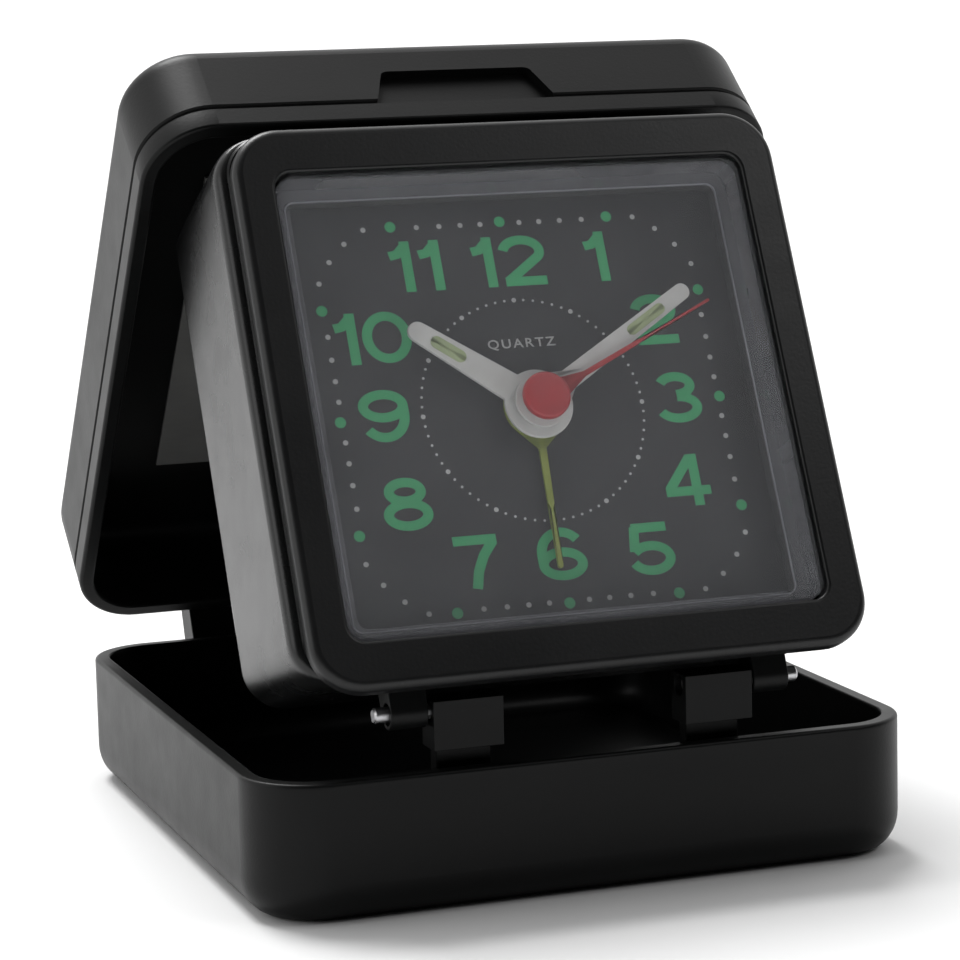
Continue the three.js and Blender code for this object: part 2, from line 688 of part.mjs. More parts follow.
// ---- gear train; depths u run into the head from the dial's face -----------------
const at = (u) => -(DIAL_DEPTH + u);
const SHAFT_END = headThickness - DIAL_DEPTH - 3.1;
const intermediateAxis = [0, dialCentre + (SECOND_MODULE * (SECOND_WHEEL + SMALL_PINION)) / 2];
const rotorAxis = [0, intermediateAxis[1] + (FAST_MODULE * (FAST_WHEEL + SMALL_PINION)) / 2];

// Flat gear blank with straight-sided teeth; `phase` is where a tooth points, in degrees.
function gear(teeth, module, [x, y], u0, u1, phase) {
  const pitch = (module * teeth) / 2;
  const tip = pitch + TOOTH_REACH * module;
  const root = pitch - module;
  const step = (2 * Math.PI) / teeth;
  const outline = [];
  for (let i = 0; i < teeth; i++) {
    for (const [radius, share] of [[root, -0.26], [tip, -0.1], [tip, 0.1], [root, 0.26]]) {
      const a = radians(phase) + (i + share) * step;
      outline.push(v2(x + radius * Math.cos(a), y + radius * Math.sin(a)));
    }
  }
  return prism(outline, at(u1), at(u0));
}

// Round bar between two depths.
const bar = (radius, spot, u0, u1, steps) => rod(radius, spot, at(u1), at(u0), steps);

// A wheel that faces a pinion's tooth has a gap there: half a tooth past the facing angle.
const facing = (angle, teeth) => angle + 180 + 180 / teeth;

const alarmSide = 180 - SET_AXIS_ANGLE;
const DOWN = 270;

function buildMinuteWheel() {
  return gear(MINUTE_PINION, GEAR_MODULE, handAxis, 5.35, 6.65, SET_AXIS_ANGLE)
    .add(bar(1.2, handAxis, -3.05, 5.55))
    .add(bar(3.4, handAxis, 6.55, 7.25))
    .subtract(bar(0.8, handAxis, -4, 8));
}

function buildMotionWheel() {
  const phase = facing(SET_AXIS_ANGLE, MOTION_WHEEL);
  return gear(MOTION_WHEEL, GEAR_MODULE, timeAxis, 5.45, 6.35, phase)
    .add(gear(MOTION_PINION, GEAR_MODULE, timeAxis, 3.75, 5.55, SET_AXIS_ANGLE + 180))
    .add(bar(SHAFT_RADIUS, timeAxis, 3.25, SHAFT_END, 16));
}

function buildHourWheel() {
  const phase = facing(SET_AXIS_ANGLE + 180, HOUR_WHEEL);
  return gear(HOUR_WHEEL, GEAR_MODULE, handAxis, 3.85, 4.75, phase)
    .add(bar(1.9, handAxis, -1.95, 4.05))
    .subtract(bar(1.5, handAxis, -3, 6));
}

function buildAlarmWheel() {
  const phase = facing(alarmSide + 180, ALARM_WHEEL);
  return gear(ALARM_WHEEL, GEAR_MODULE, handAxis, 2.65, 3.45, phase)
    .add(bar(2.7, handAxis, -0.95, 2.85))
    .subtract(bar(2.2, handAxis, -2, 5));
}

function buildAlarmPinion() {
  return gear(ALARM_PINION, GEAR_MODULE, alarmAxis, 2.55, 3.55, alarmSide + 180)
    .add(bar(SHAFT_RADIUS, alarmAxis, 2.45, SHAFT_END, 16));
}

function buildSecondWheel() {
  return gear(SECOND_WHEEL, SECOND_MODULE, handAxis, 7.85, 8.65, facing(DOWN, SECOND_WHEEL))
    .add(bar(0.5, handAxis, -3.85, 10.25, 14));
}

function buildIntermediate() {
  return gear(FAST_WHEEL, FAST_MODULE, intermediateAxis, 9.15, 9.85, facing(DOWN, FAST_WHEEL))
    .add(gear(SMALL_PINION, SECOND_MODULE, intermediateAxis, 7.65, 9.35, DOWN))
    .add(bar(0.4, intermediateAxis, 6.95, 11.95, 12));
}

function buildRotor() {
  return gear(SMALL_PINION, FAST_MODULE, rotorAxis, 8.95, 10.25, DOWN)
    .add(bar(2.6, rotorAxis, 10.15, 11.95))
    .add(bar(0.4, rotorAxis, 7.65, 12.35, 12));
}

addPiece(head, 'minute_wheel', buildMinuteWheel(), brass);
addPiece(head, 'motion_wheel', buildMotionWheel(), naturalPlastic);
addPiece(head, 'hour_wheel', buildHourWheel(), naturalPlastic);
addPiece(head, 'alarm_wheel', buildAlarmWheel(), naturalPlastic);
addPiece(head, 'alarm_pinion', buildAlarmPinion(), naturalPlastic);
addPiece(head, 'second_wheel', buildSecondWheel(), naturalPlastic);
addPiece(head, 'intermediate_wheel', buildIntermediate(), naturalPlastic);
addPiece(head, 'rotor', buildRotor(), steel);

// ---- movement housing and electrics ----------------------------------------
const BOARD_WIDTH = 5.2;
const MOVE_BELOW = 9.4;
const MOVE_ABOVE = 28.4;
const MOVE_FRONT = DIAL_THICKNESS + CELL_FRONT_ROOM;
const MOVE_BACK = MOVE_FRONT + MOVEMENT_DEPTH;
const MOVE_SPLIT = 7.05;
const boardRight = timeAxis[0] - GEAR_MODULE * (MOTION_WHEEL / 2 + TOOTH_REACH) - 0.45;
const boardLeft = boardRight - BOARD_WIDTH;
const moveLeft = boardLeft - 0.4 - MOVE_SKIN;
const coilUp = rotorAxis[1] + 9.8;
const coilIn = 7.45;

function moveLoop(inset, u) {
  const half = (moveRight - moveLeft) / 2 - inset;
  const low = dialCentre - MOVE_BELOW + inset;
  const loop = roundedLoop(half, low, dialCentre + MOVE_ABOVE - inset, 1.5, at(u));
  loop.forEach((p) => p.setX(p.x + (moveLeft + moveRight) / 2));
  return loop;
}

function buildMovementFront() {
  return loft([
    moveLoop(MOVE_SKIN, MOVE_FRONT + 1.0), moveLoop(MOVE_SKIN, MOVE_SPLIT),
    moveLoop(0, MOVE_SPLIT), moveLoop(0, MOVE_FRONT),
  ]).subtract(bar(3.1, handAxis, 0, MOVE_FRONT + 2));
}

function buildMovementBack() {
  const shell = loft([
    moveLoop(0, MOVE_BACK), moveLoop(0, MOVE_SPLIT + FIT),
    moveLoop(MOVE_SKIN, MOVE_SPLIT + FIT), moveLoop(MOVE_SKIN, MOVE_BACK - 1.0),
  ]);
  return [timeAxis, alarmAxis].reduce(
    (body, spot) => body.subtract(bar(SHAFT_RADIUS + FIT, spot, MOVE_BACK - 2, MOVE_BACK + 1)),
    shell,
  );
}

function buildStator() {
  const low = rotorAxis[1] - 3.8;
  return block(boardRight + 0.8, boardRight + 22.8, low, low + 17, at(11.35), at(10.55))
    .subtract(bar(3.2, rotorAxis, 10, 12));
}

function buildCoil() {
  return crossRod(2.6, -9, 7, coilUp, at(coilIn))
    .add(crossRod(3.0, -10, -8.9, coilUp, at(coilIn)))
    .add(crossRod(3.0, 6.9, 8, coilUp, at(coilIn)));
}

function buildBoard() {
  return block(boardLeft, boardRight, dialCentre - 6, dialCentre + 26, at(11.65), at(10.65));
}

addPiece(head, 'movement_front', buildMovementFront(), naturalPlastic);
addPiece(head, 'movement_back', buildMovementBack(), naturalPlastic);
addPiece(head, 'stator', buildStator(), steel);
addPiece(head, 'coil', buildCoil(), copper);
addPiece(head, 'circuit_board', buildBoard(), boardGreen);
addPiece(head, 'buzzer', rod(8.5, buzzerSpot, back + 3.5, back + 5.5, 36), brass);

// ---- hands -----------------------------------------------------------------
const HAND_CLEARANCE = 0.2;

// Flat hand: hub disc, tapered blade with a round tip, and a hole for its tube.
function hand({ angle, length, root, tip, hubRadius, tube, u0, u1 }) {
  const turn = radians(90 - angle);
  const blade = hull([
    ...circlePoints(length - tip, 0, tip, 16),
    v2(0, root), v2(0, -root),
  ]).map((p) => p.rotateAround(v2(0, 0), turn).add(v2(...handAxis)));
  return prism(blade, at(u1), at(u0))
    .add(bar(hubRadius, handAxis, u0, u1))
    .subtract(bar(tube + HAND_CLEARANCE, handAxis, u0 - OVERRUN, u1 + OVERRUN, 20));
}

addPiece(head, 'alarm_hand', hand({
  angle: ALARM_ANGLE, length: ALARM_LENGTH, root: 0.4, tip: 0.35,
  hubRadius: 3.7, tube: 2.7, u0: -0.95, u1: -0.6,
}), limePaint);
addPiece(head, 'hour_hand', hand({
  angle: HOUR_ANGLE, length: HOUR_LENGTH, root: 1.7, tip: 1.15,
  hubRadius: 3.9, tube: 1.9, u0: -1.95, u1: -1.45,
}), whitePaint);
addPiece(head, 'minute_hand', hand({
  angle: MINUTE_ANGLE, length: MINUTE_LENGTH, root: 1.25, tip: 0.95,
  hubRadius: 3.0, tube: 1.2, u0: -3.05, u1: -2.65,
}), whitePaint);
addPiece(head, 'second_hand', hand({
  angle: SECOND_ANGLE, length: SECOND_LENGTH, root: 0.5, tip: 0.22,
  hubRadius: 1.8, tube: 0.5, u0: -3.85, u1: -3.6,
}), redPaint);
addPiece(head, 'second_cap', bar(2.65, handAxis, -5.05, -4.05), redPaint);

export default model;
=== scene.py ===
import json
import bmesh
import bpy
import numpy as np
from mathutils import Matrix, Vector


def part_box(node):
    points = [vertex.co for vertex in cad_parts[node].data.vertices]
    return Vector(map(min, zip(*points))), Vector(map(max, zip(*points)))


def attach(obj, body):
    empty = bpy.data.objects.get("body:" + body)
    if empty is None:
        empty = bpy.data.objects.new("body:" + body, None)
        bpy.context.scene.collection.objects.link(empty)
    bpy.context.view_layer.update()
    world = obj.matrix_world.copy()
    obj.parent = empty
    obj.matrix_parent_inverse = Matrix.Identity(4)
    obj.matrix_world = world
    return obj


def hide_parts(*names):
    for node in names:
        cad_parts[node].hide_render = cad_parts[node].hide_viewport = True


# Folding travel alarm clock: a tray, a hinged lid and a quartz head that swings up between them.
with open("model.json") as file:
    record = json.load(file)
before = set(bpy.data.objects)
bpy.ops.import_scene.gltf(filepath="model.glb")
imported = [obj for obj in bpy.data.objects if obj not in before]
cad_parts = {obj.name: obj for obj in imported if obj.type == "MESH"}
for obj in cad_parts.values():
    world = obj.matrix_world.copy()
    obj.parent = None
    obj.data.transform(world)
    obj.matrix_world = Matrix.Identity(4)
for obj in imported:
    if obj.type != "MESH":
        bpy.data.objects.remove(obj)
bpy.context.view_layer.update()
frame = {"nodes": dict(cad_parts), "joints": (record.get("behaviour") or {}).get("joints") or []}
joints = {j["name"]: j for j in frame["joints"]}

# ---- Tray -------------------------------------------------------------------
# The lower half of the case, one moulding in satin black plastic with soft outer corners.
# The rim is lightly rounded by handling, and the floor runs into the walls on a small fillet.
MM = 0.001
tray_low, tray_high = (np.array(c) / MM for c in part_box("base_tray"))
CASE_HALF = tray_high[0]
CASE_FRONT = tray_low[1]
CASE_BACK = -CASE_FRONT
WALL = 1.8
CORNER = 8.0
TRAY_HEIGHT = 15.1
FOOT_ROUND = (3.4, 4.2)
FLOOR_FILLET = (2.2, 2.8)
RIM_OUTSIDE = (0.4, 0.4)
RIM_INSIDE = (0.25, 0.25)
SUPPORT = 0.35
ARC_STEPS = 14
SHARP_ANGLE = np.radians(35)
WIDE_WALL = 1.6 * MM
SAME_PLANE = 0.99995


def rounded_outline(half, low, high, radius, steps=ARC_STEPS, middle=0.0):
    """Points round a rectangle whose corners are quarter circles, anticlockwise. Each straight side
    has one more point near either end, so that shading stays flat along it."""
    turn = np.radians(np.arange(4)[:, None] * 90 + np.linspace(0, 90, steps + 1))
    across = middle + np.array([1, -1, -1, 1])[:, None] * (half - radius)
    up = np.array([high - radius, high - radius, low + radius, low + radius])[:, None]
    arc = np.stack([across + radius * np.cos(turn), up + radius * np.sin(turn)], -1)
    along = np.stack([-np.sin(turn), np.cos(turn)], -1) * SUPPORT
    rows = np.concatenate([arc[:, :1] - along[:, :1], arc, arc[:, -1:] + along[:, -1:]], 1)
    return rows.reshape(-1, 2)


def quarter(inset, height, steps=9):
    """Quarter ellipse from a flat face out to a side wall: inset from the wall and height off the face."""
    turn = np.linspace(0, np.pi / 2, steps + 1)
    return np.stack([inset * (1 - np.sin(turn)), height * (1 - np.cos(turn))], -1)


def loft(rings, caps=True, loop=False):
    """Quads between neighbouring rings of equal length, with index arithmetic on whole arrays, and a
    fan to the middle of the first and last ring when they are capped."""
    rings = np.asarray(rings, float)
    rows, cols = rings.shape[:2]
    j = np.arange(cols)
    k = (j + 1) % cols
    i = np.arange(rows if loop else rows - 1)[:, None] * cols
    n = (i + cols) % (rows * cols)
    faces = np.stack([i + j, i + k, n + k, n + j], -1).reshape(-1, 4).tolist()
    points = rings.reshape(-1, 3)
    if caps and not loop:
        ends = np.stack([rings[0].mean(0), rings[-1].mean(0)])
        points = np.concatenate([points, ends])
        last = (rows - 1) * cols
        first = np.full(cols, rows * cols)
        faces += np.stack([first, k, j], -1).tolist()
        faces += np.stack([first + 1, last + j, last + k], -1).tolist()
    return points, faces


def join(*solids):
    """Several closed skins in one mesh: points stacked, face numbers shifted by what came before."""
    points, faces, start = [], [], 0
    for p, f in solids:
        points.append(p)
        faces += [[v + start for v in face] for face in f]
        start += len(p)
    return np.concatenate(points), faces


def same_plane_walls(skin):
    """Groups of touching faces whose normals agree: each group is one flat wall or one narrow strip
    of a curve."""
    seen = set()
    for start in skin.faces:
        if start.index in seen:
            continue
        wall, ahead = [], [start]
        seen.add(start.index)
        while ahead:
            face = ahead.pop()
            wall.append(face)
            for other in (f for edge in face.edges for f in edge.link_faces):
                if other.index not in seen and other.normal.dot(start.normal) > SAME_PLANE:
                    seen.add(other.index)
                    ahead.append(other)
        yield wall


def settle_shading(mesh):
    """Smooth up to the sharp angle, but a wide flat wall stays flat, so the curve next to it doesn't
    spread over it. A wall's width is its area over its longest edge."""
    mesh.shade_smooth()
    mesh.set_sharp_from_angle(angle=SHARP_ANGLE)
    skin = bmesh.new()
    skin.from_mesh(mesh)
    skin.normal_update()
    for wall in same_plane_walls(skin):
        longest = max(edge.calc_length() for face in wall for edge in face.edges)
        wide = sum(face.calc_area() for face in wall) > WIDE_WALL * longest
        for face in wall:
            face.smooth = not wide
    skin.to_mesh(mesh)
    skin.free()


def closed_mesh(name, shape):
    """Mesh from points in millimetres and their faces, with every face turned outwards."""
    points, faces = shape
    mesh = bpy.data.meshes.new(name)
    mesh.from_pydata((np.asarray(points) * MM).tolist(), [], faces)
    skin = bmesh.new()
    skin.from_mesh(mesh)
    bmesh.ops.recalc_face_normals(skin, faces=skin.faces)
    skin.to_mesh(mesh)
    skin.free()
    return mesh


def add_object(name, data):
    """Puts a mesh, letters, a lamp or a camera into the scene."""
    made = bpy.data.objects.new(name, data)
    bpy.context.scene.collection.objects.link(made)
    return made


def add_piece(name, shape, body, material, bevel=0.0):
    """Finished piece on its body and slot, with its edges rounded by the bevel if one is given."""
    mesh = closed_mesh(name, shape)
    settle_shading(mesh)
    mesh.materials.append(material)
    piece = add_object(name, mesh)
    if bevel:
        edge = piece.modifiers.new("softened_edges", "BEVEL")
        edge.width = bevel * MM
        edge.segments = 3
        edge.limit_method = "ANGLE"
        edge.angle_limit = np.radians(30)
        edge.harden_normals = True
    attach(piece, body)
    return piece


def put(tree, kind, links=None, **values):
    """Adds a node, sets its plain values and sockets by name, and links the sockets given."""
    made = tree.nodes.new(kind)
    for key, value in values.items():
        if hasattr(made, key):
            setattr(made, key, value)
        else:
            made.inputs[key.replace("_", " ")].default_value = value
    for socket, source in (links or {}).items():
        tree.links.new(source, made.inputs[socket])
    return made


def start_material(name, slot_values):
    """Empty material with one surface shader whose even values are set on its own sockets."""
    material = bpy.data.materials.new(name)
    material.use_nodes = True
    tree = material.node_tree
    shader = tree.nodes["Principled BSDF"]
    for socket, value in slot_values.items():
        shader.inputs[socket].default_value = value
    place = tree.nodes.new("ShaderNodeTexCoord").outputs["Object"]
    return material, tree, shader, place


def noise(tree, place, scale, detail=3.0, stretch=None):
    """Grain of a given fineness per metre, drawn out along one axis when stretch is given."""
    if stretch:
        place = put(tree, "ShaderNodeMapping", {"Vector": place}, Scale=stretch).outputs["Vector"]
    return put(tree, "ShaderNodeTexNoise", {"Vector": place}, Scale=scale, Detail=detail).outputs[0]


def remap(tree, source, low, high, start=0.3, end=0.7, **style):
    """Stretches the part of a value between start and end to run from low to high."""
    node = put(tree, "ShaderNodeMapRange", {"Value": source}, **style)
    for socket, value in zip(("From Min", "From Max", "To Min", "To Max"), (start, end, low, high)):
        node.inputs[socket].default_value = value
    return node.outputs[0]


def blend_colours(tree, amount, first, second):
    """Mixes two colours, or colours that other nodes give, by an amount from 0 to 1."""
    node = put(tree, "ShaderNodeMix", data_type="RGBA")
    tree.links.new(amount, node.inputs[0])
    for socket, colour in ((6, first), (7, second)):
        if hasattr(colour, "is_output"):
            tree.links.new(colour, node.inputs[socket])
        else:
            node.inputs[socket].default_value = (*colour, 1)
    return node.outputs[2]


def finish_surface(tree, shader, tone, rough, height, strength, depth):
    """Sends a tone, a roughness and a relief made from a grain's height to the surface shader."""
    relief = put(tree, "ShaderNodeBump", {"Height": height}, Strength=strength, Distance=depth)
    for socket, source in (("Base Color", tone), ("Roughness", rough), ("Normal", relief.outputs[0])):
        tree.links.new(source, shader.inputs[socket])


def moulded_plastic(name, dark, light, roughness, shine=0.15):
    """Spark-eroded moulding: a fine even grain, slow patches of gloss, rubbed lines and a few specks."""
    material, tree, shader, place = start_material(name, {"IOR": 1.5, "Specular IOR Level": shine})
    patches = noise(tree, place, 45, 5)
    rubbed = noise(tree, place, 260, 2, (0.12, 1, 1))
    specks = remap(tree, noise(tree, place, 2400, 1), 0, 1, 0.72, 0.78)
    tone = blend_colours(tree, remap(tree, patches, 0, 1), dark, light)
    tone = blend_colours(tree, specks, tone, tuple(1.8 * c for c in light))
    gloss = remap(tree, patches, roughness - 0.025, roughness + 0.03)
    wear = remap(tree, rubbed, -0.015, 0.02)
    total = put(tree, "ShaderNodeMath", {0: gloss, 1: wear}, operation="ADD").outputs[0]
    finish_surface(tree, shader, tone, total, noise(tree, place, 2600, 2), 0.35, 0.03 * MM)
    return material


case_black = moulded_plastic("case_black", (0.0025, 0.0027, 0.0027), (0.004, 0.0043, 0.0043), 0.38)


def case_ring(inset, height):
    """Outline of the case wall, drawn in by inset, at one height."""
    radius = max(CORNER - inset, 1.5)
    flat = rounded_outline(CASE_HALF - inset, CASE_FRONT + inset, CASE_BACK - inset, radius)
    return np.column_stack([flat, np.full(len(flat), height)])


def wall_levels(outer, rim, inner):
    """Case outlines at each (inset, height) of the outer, rim and inner runs, one after another."""
    return [case_ring(i, h) for i, h in np.concatenate([outer, rim, inner])]


def tray_shape():
    """Skin of the tray: up the outside, over the rounded rim, and down the inside to the floor."""
    foot = quarter(*FOOT_ROUND)
    outer = np.vstack([[foot[0, 0] + 0.4, 0], foot, [0, 4.6], [0, TRAY_HEIGHT - 0.7]])
    shoulder = quarter(*RIM_OUTSIDE, 4)[::-1]
    over = np.column_stack([shoulder[:, 0], TRAY_HEIGHT - shoulder[:, 1]])
    inside = quarter(*RIM_INSIDE, 3)
    under = np.column_stack([WALL - inside[:, 0], TRAY_HEIGHT - inside[:, 1]])
    floor = quarter(*FLOOR_FILLET, 6)[::-1]
    inner = np.vstack([[WALL, TRAY_HEIGHT - 0.6], [WALL, WALL + 3.1],
                       np.column_stack([WALL + floor[:, 0], WALL + floor[:, 1]]),
                       [WALL + 2.6, WALL]])
    return loft(wall_levels(outer, np.vstack([over, under]), inner))


tray = add_piece("tray", tray_shape(), "base", case_black)
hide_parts("base_tray")

# ---- Rear knuckle -----------------------------------------------------------
# The middle knuckle of the lid's hinge, moulded on the outside of the tray's rear wall.
# It is a round eye that runs back into the wall on a tapered root.
rear_pivot = np.array(joints["lid_hinge"]["pos_m"])[1:] / MM
BARREL = 2.4
REAR_HOLE = 1.3
KNUCKLE_HALF = 12.3
EYE_STEPS = 96
SOFT_EDGE = 0.2


def eye_section(corners, centre, barrel, hole):
    """Section of a hinge eye in (y, z): the outer line is the farther of the barrel's circle and the
    flat sides that run from it to the corners, found as rays from the centre to the hull's edges."""
    ray, side = (np.column_stack([np.cos(t), np.sin(t)]) for t in
                 (np.linspace(0, 2 * np.pi, n, endpoint=False) for n in (EYE_STEPS, 6 * EYE_STEPS)))
    cloud = np.vstack([barrel * side, np.asarray(corners, float) - centre])
    reach = np.max(cloud @ side.T, axis=0)
    lean = ray @ side.T
    bound = np.where(lean > 0.02, reach / np.maximum(lean, 0.02), np.inf)
    outer = ray * bound.min(axis=1)[:, None]
    return centre + outer, centre + hole * ray


def eye_prism(x0, x1, corners, centre, barrel, hole):
    """The eye's section carried along X: outer and inner line at both ends, closed into a ring."""
    outer, inner = eye_section(corners, centre, barrel, hole)
    ends = [(x0, inner), (x0, outer), (x1, outer), (x1, inner)]
    return loft([np.column_stack([np.full(EYE_STEPS, x), line]) for x, line in ends], loop=True)


wall_mid = CASE_BACK - WALL / 2
knuckle_root = [(y, rear_pivot[1] + z) for y in (wall_mid, CASE_BACK) for z in (-6, 2)]
add_piece("rear_knuckle", eye_prism(-KNUCKLE_HALF, KNUCKLE_HALF, knuckle_root, rear_pivot, BARREL,
                                    REAR_HOLE), "base", case_black, bevel=SOFT_EDGE)

# ---- Front posts ------------------------------------------------------------
# Two bearing blocks that stand on legs at the front of the tray and carry the head's steel pins.
# Each leg is narrower than its block, which leaves the small step under the bearing.
front_pivot = np.array(joints["head_hinge"]["pos_m"])[1:] / MM
POST_INNER = 10.3
POST_WIDTH = 7.7
POST_HALF = 1.95
POST_DROP = 4.0
POST_RISE = 1.3
POST_BARREL = 1.3
LEG_STEP = 0.8
FRONT_HOLE = 1.15


def slab(x, y, z):
    """Closed box between two values on each axis, as two rings of four points."""
    ring = np.array([(x[0], y[0]), (x[1], y[0]), (x[1], y[1]), (x[0], y[1])])
    return loft([np.column_stack([ring, np.full(4, level)]) for level in z])


def mirrored(side, inner, outer):
    """The same span on the right, or on the left when side is -1."""
    return (inner, outer) if side > 0 else (-outer, -inner)


for side, word in ((-1, "left"), (1, "right")):
    x = mirrored(side, POST_INNER, POST_INNER + POST_WIDTH)
    y, z = front_pivot
    corners = [(y + dy, z + dz) for dy in (-POST_HALF, POST_HALF) for dz in (-POST_DROP, POST_RISE)]
    add_piece(f"post_bearing_{word}", eye_prism(*x, corners, front_pivot, POST_BARREL, FRONT_HOLE), "base",
              case_black, bevel=SOFT_EDGE)
    leg = slab((x[0] + LEG_STEP, x[1] - LEG_STEP), (y, y + POST_HALF), (WALL / 2, z - POST_DROP + 0.4))
    add_piece(f"post_leg_{word}", leg, "base", case_black, bevel=SOFT_EDGE)

# ---- Lid --------------------------------------------------------------------
# The upper half of the case, moulded in the same plastic, with a groove all round above its rim
# and a shallow thumb scoop in the front wall. It stands open behind the head on two arms.
LID_OPENING = np.radians(52)
CLOSED_HEIGHT = 29.5
LID_RIM = 15.3
GROOVE = LID_RIM + 3.2
CEILING_FILLET = (1.8, 1.8)
CROWN_ROUND = (2.6, 2.6)
SCOOP_LENGTH = 5.1
SCOOP_DEPTH = 1.1
SCOOP_FOOT = 10.6
SCOOP_HEAD = 9.2


def open_lid(points):
    """Turns points of the closed lid about the rear pivot to where the lid stands open."""
    c, s = np.cos(LID_OPENING), np.sin(LID_OPENING)
    y, z = points[:, 1] - rear_pivot[0], points[:, 2] - rear_pivot[1]
    return np.column_stack([points[:, 0], y * c + z * s + rear_pivot[0],
                            z * c - y * s + rear_pivot[1]])


def turned_with_lid(shape):
    """A shape of the closed lid, opened with it."""
    return open_lid(shape[0]), shape[1]


def lid_shape():
    """Skin of the closed lid: from the ceiling down the inside, over the rim and up the outside."""
    ceiling = CLOSED_HEIGHT - WALL
    hollow = quarter(*CEILING_FILLET, 6)
    inner = np.vstack([[WALL + 2.2, ceiling],
                       np.column_stack([WALL + hollow[:, 0], ceiling - hollow[:, 1]]),
                       [WALL, ceiling - 2.2], [WALL, LID_RIM + 0.6]])
    lip = quarter(*RIM_INSIDE, 3)[::-1]
    edge = quarter(*RIM_OUTSIDE, 4)
    rim = np.vstack([np.column_stack([WALL - lip[:, 0], LID_RIM + lip[:, 1]]),
                     np.column_stack([edge[:, 0], LID_RIM + edge[:, 1]])])
    groove = np.array([[0, -0.75], [0, -0.4], [0.08, -0.32], [0.35, -0.2], [0.35, 0.2],
                       [0.08, 0.32], [0, 0.4], [0, 0.75]]) + [0, GROOVE]
    crown = quarter(*CROWN_ROUND)[::-1]
    outer = np.vstack([[0, CLOSED_HEIGHT - 3.0],
                       np.column_stack([crown[:, 0], CLOSED_HEIGHT - crown[:, 1]]),
                       [3.0, CLOSED_HEIGHT]])
    return loft(wall_levels(inner, rim, np.vstack([groove, outer])))


def scoop_shape():
    """Cutter for the thumb scoop: a trapezium with softened upper corners, pushed through the wall."""
    low, high = GROOVE, GROOVE + SCOOP_LENGTH
    turn = np.linspace(0, np.pi / 2, 7)
    right = np.vstack([[SCOOP_FOOT, low], [SCOOP_HEAD, high - 1.1], np.column_stack(
        [8.1 + 1.0 * np.cos(turn), high - 0.9 + 0.9 * np.sin(turn)])])
    line = np.vstack([right, (right * [-1, 1])[::-1]])
    return loft([np.column_stack([line[:, 0], np.full(len(line), y), line[:, 1]])
                 for y in (CASE_FRONT - 1.5, CASE_FRONT + SCOOP_DEPTH)])


def mesh_of(thing):
    """Plain mesh of an object or letters, with everything on it worked out."""
    bpy.context.view_layer.update()
    return bpy.data.meshes.new_from_object(thing.evaluated_get(bpy.context.evaluated_depsgraph_get()))


def carve(piece, cutters):
    """Cuts closed shapes out of a piece and keeps the result as its own plain mesh."""
    tools = []
    for shape in cutters:
        tool = add_object("cutter", closed_mesh("cutter", shape))
        cut = piece.modifiers.new("cut", "BOOLEAN")
        cut.object = tool
        cut.solver = "EXACT"
        tools.append(tool)
    result = mesh_of(piece)
    piece.modifiers.clear()
    piece.data = result
    settle_shading(result)
    for tool in tools:
        bpy.data.objects.remove(tool)


lid = add_piece("lid", turned_with_lid(lid_shape()), "lid", case_black)
carve(lid, [turned_with_lid(scoop_shape())])
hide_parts("lid_shell")

ARM_INNER = KNUCKLE_HALF + 0.3
ARM_WIDTH = 9.9
arm_root = [(wall_mid, LID_RIM + 2.2), (wall_mid, LID_RIM + 6.7), (CASE_BACK + 1.4, LID_RIM + 5.9)]
for side, word in ((-1, "left"), (1, "right")):
    x = mirrored(side, ARM_INNER, ARM_INNER + ARM_WIDTH)
    arm = eye_prism(*x, arm_root, rear_pivot, BARREL, REAR_HOLE)
    add_piece(f"lid_arm_{word}", turned_with_lid(arm), "lid", case_black, bevel=SOFT_EDGE)

# ---- Label in the lid -------------------------------------------------------
# A plain label of uncoated paper, cloudy and fibrous; its grey is painted shade, the pale paper darkened
# for the shade inside the lid.
# It is glued flat to the lid's ceiling.


def paper_stock(name, pale, dark):
    """Uncoated paper: cloudy tone, long fibres in the bump, no gloss."""
    material, tree, shader, place = start_material(name, {"Specular IOR Level": 0.25})
    tone = blend_colours(tree, remap(tree, noise(tree, place, 90, 6), 0, 1), dark, pale)
    fibre = noise(tree, place, 1500, 3, (0.2, 1, 1))
    finish_surface(tree, shader, tone, remap(tree, fibre, 0.7, 0.9), fibre, 0.3, 0.04 * MM)
    return material


def dress(material, *names):
    """Gives carried-over frame parts a finished material in place of their plain one."""
    for name in names:
        slots = frame["nodes"][name].data.materials
        slots.clear()
        slots.append(material)


# The label's dark grey tones are painted shade: the pale paper is darkened to stand in for the shade
# inside the lid.
dress(paper_stock("label_painted_shade", (0.14, 0.14, 0.135), (0.10, 0.10, 0.097)), "lid_label")

# ---- Hinge pins -------------------------------------------------------------
# Drawn steel wire cut to length: one long pin through the lid's hinge and two short ones that
# stick out past the head's lugs. The ends are chamfered by the cutter.
ROUND = 40
CHAMFER = 0.2
LID_PIN = 1.0
HEAD_PIN = 0.85


def turned(profile, centre, axis=0, ripple=0.0, teeth=0):
    """A profile of (radius, distance) carried round an axis; ripple scales the radius by a cosine
    of the angle, which knurls an edge."""
    turn = np.linspace(0, 2 * np.pi, ROUND if not teeth else teeth * 6, endpoint=False)
    profile = np.asarray(profile, float)
    radius = profile[:, :1] * (1 + ripple * np.cos(teeth * turn))
    a, b = radius * np.cos(turn), radius * np.sin(turn)
    along = np.broadcast_to(profile[:, 1:], a.shape)
    order = {0: (along, a, b), 2: (a, b, along)}[axis]
    return loft(np.stack(order, -1) + np.asarray(centre, float))


def pin_profile(radius, x0, x1):
    """Half outline of a rod from x0 to x1: a 45 degree chamfer at each end and straight between."""
    return [(radius - CHAMFER, x0), (radius, x0 + CHAMFER), (radius, x0 + 2 * CHAMFER),
            (radius, x1 - 2 * CHAMFER), (radius, x1 - CHAMFER), (radius - CHAMFER, x1)]


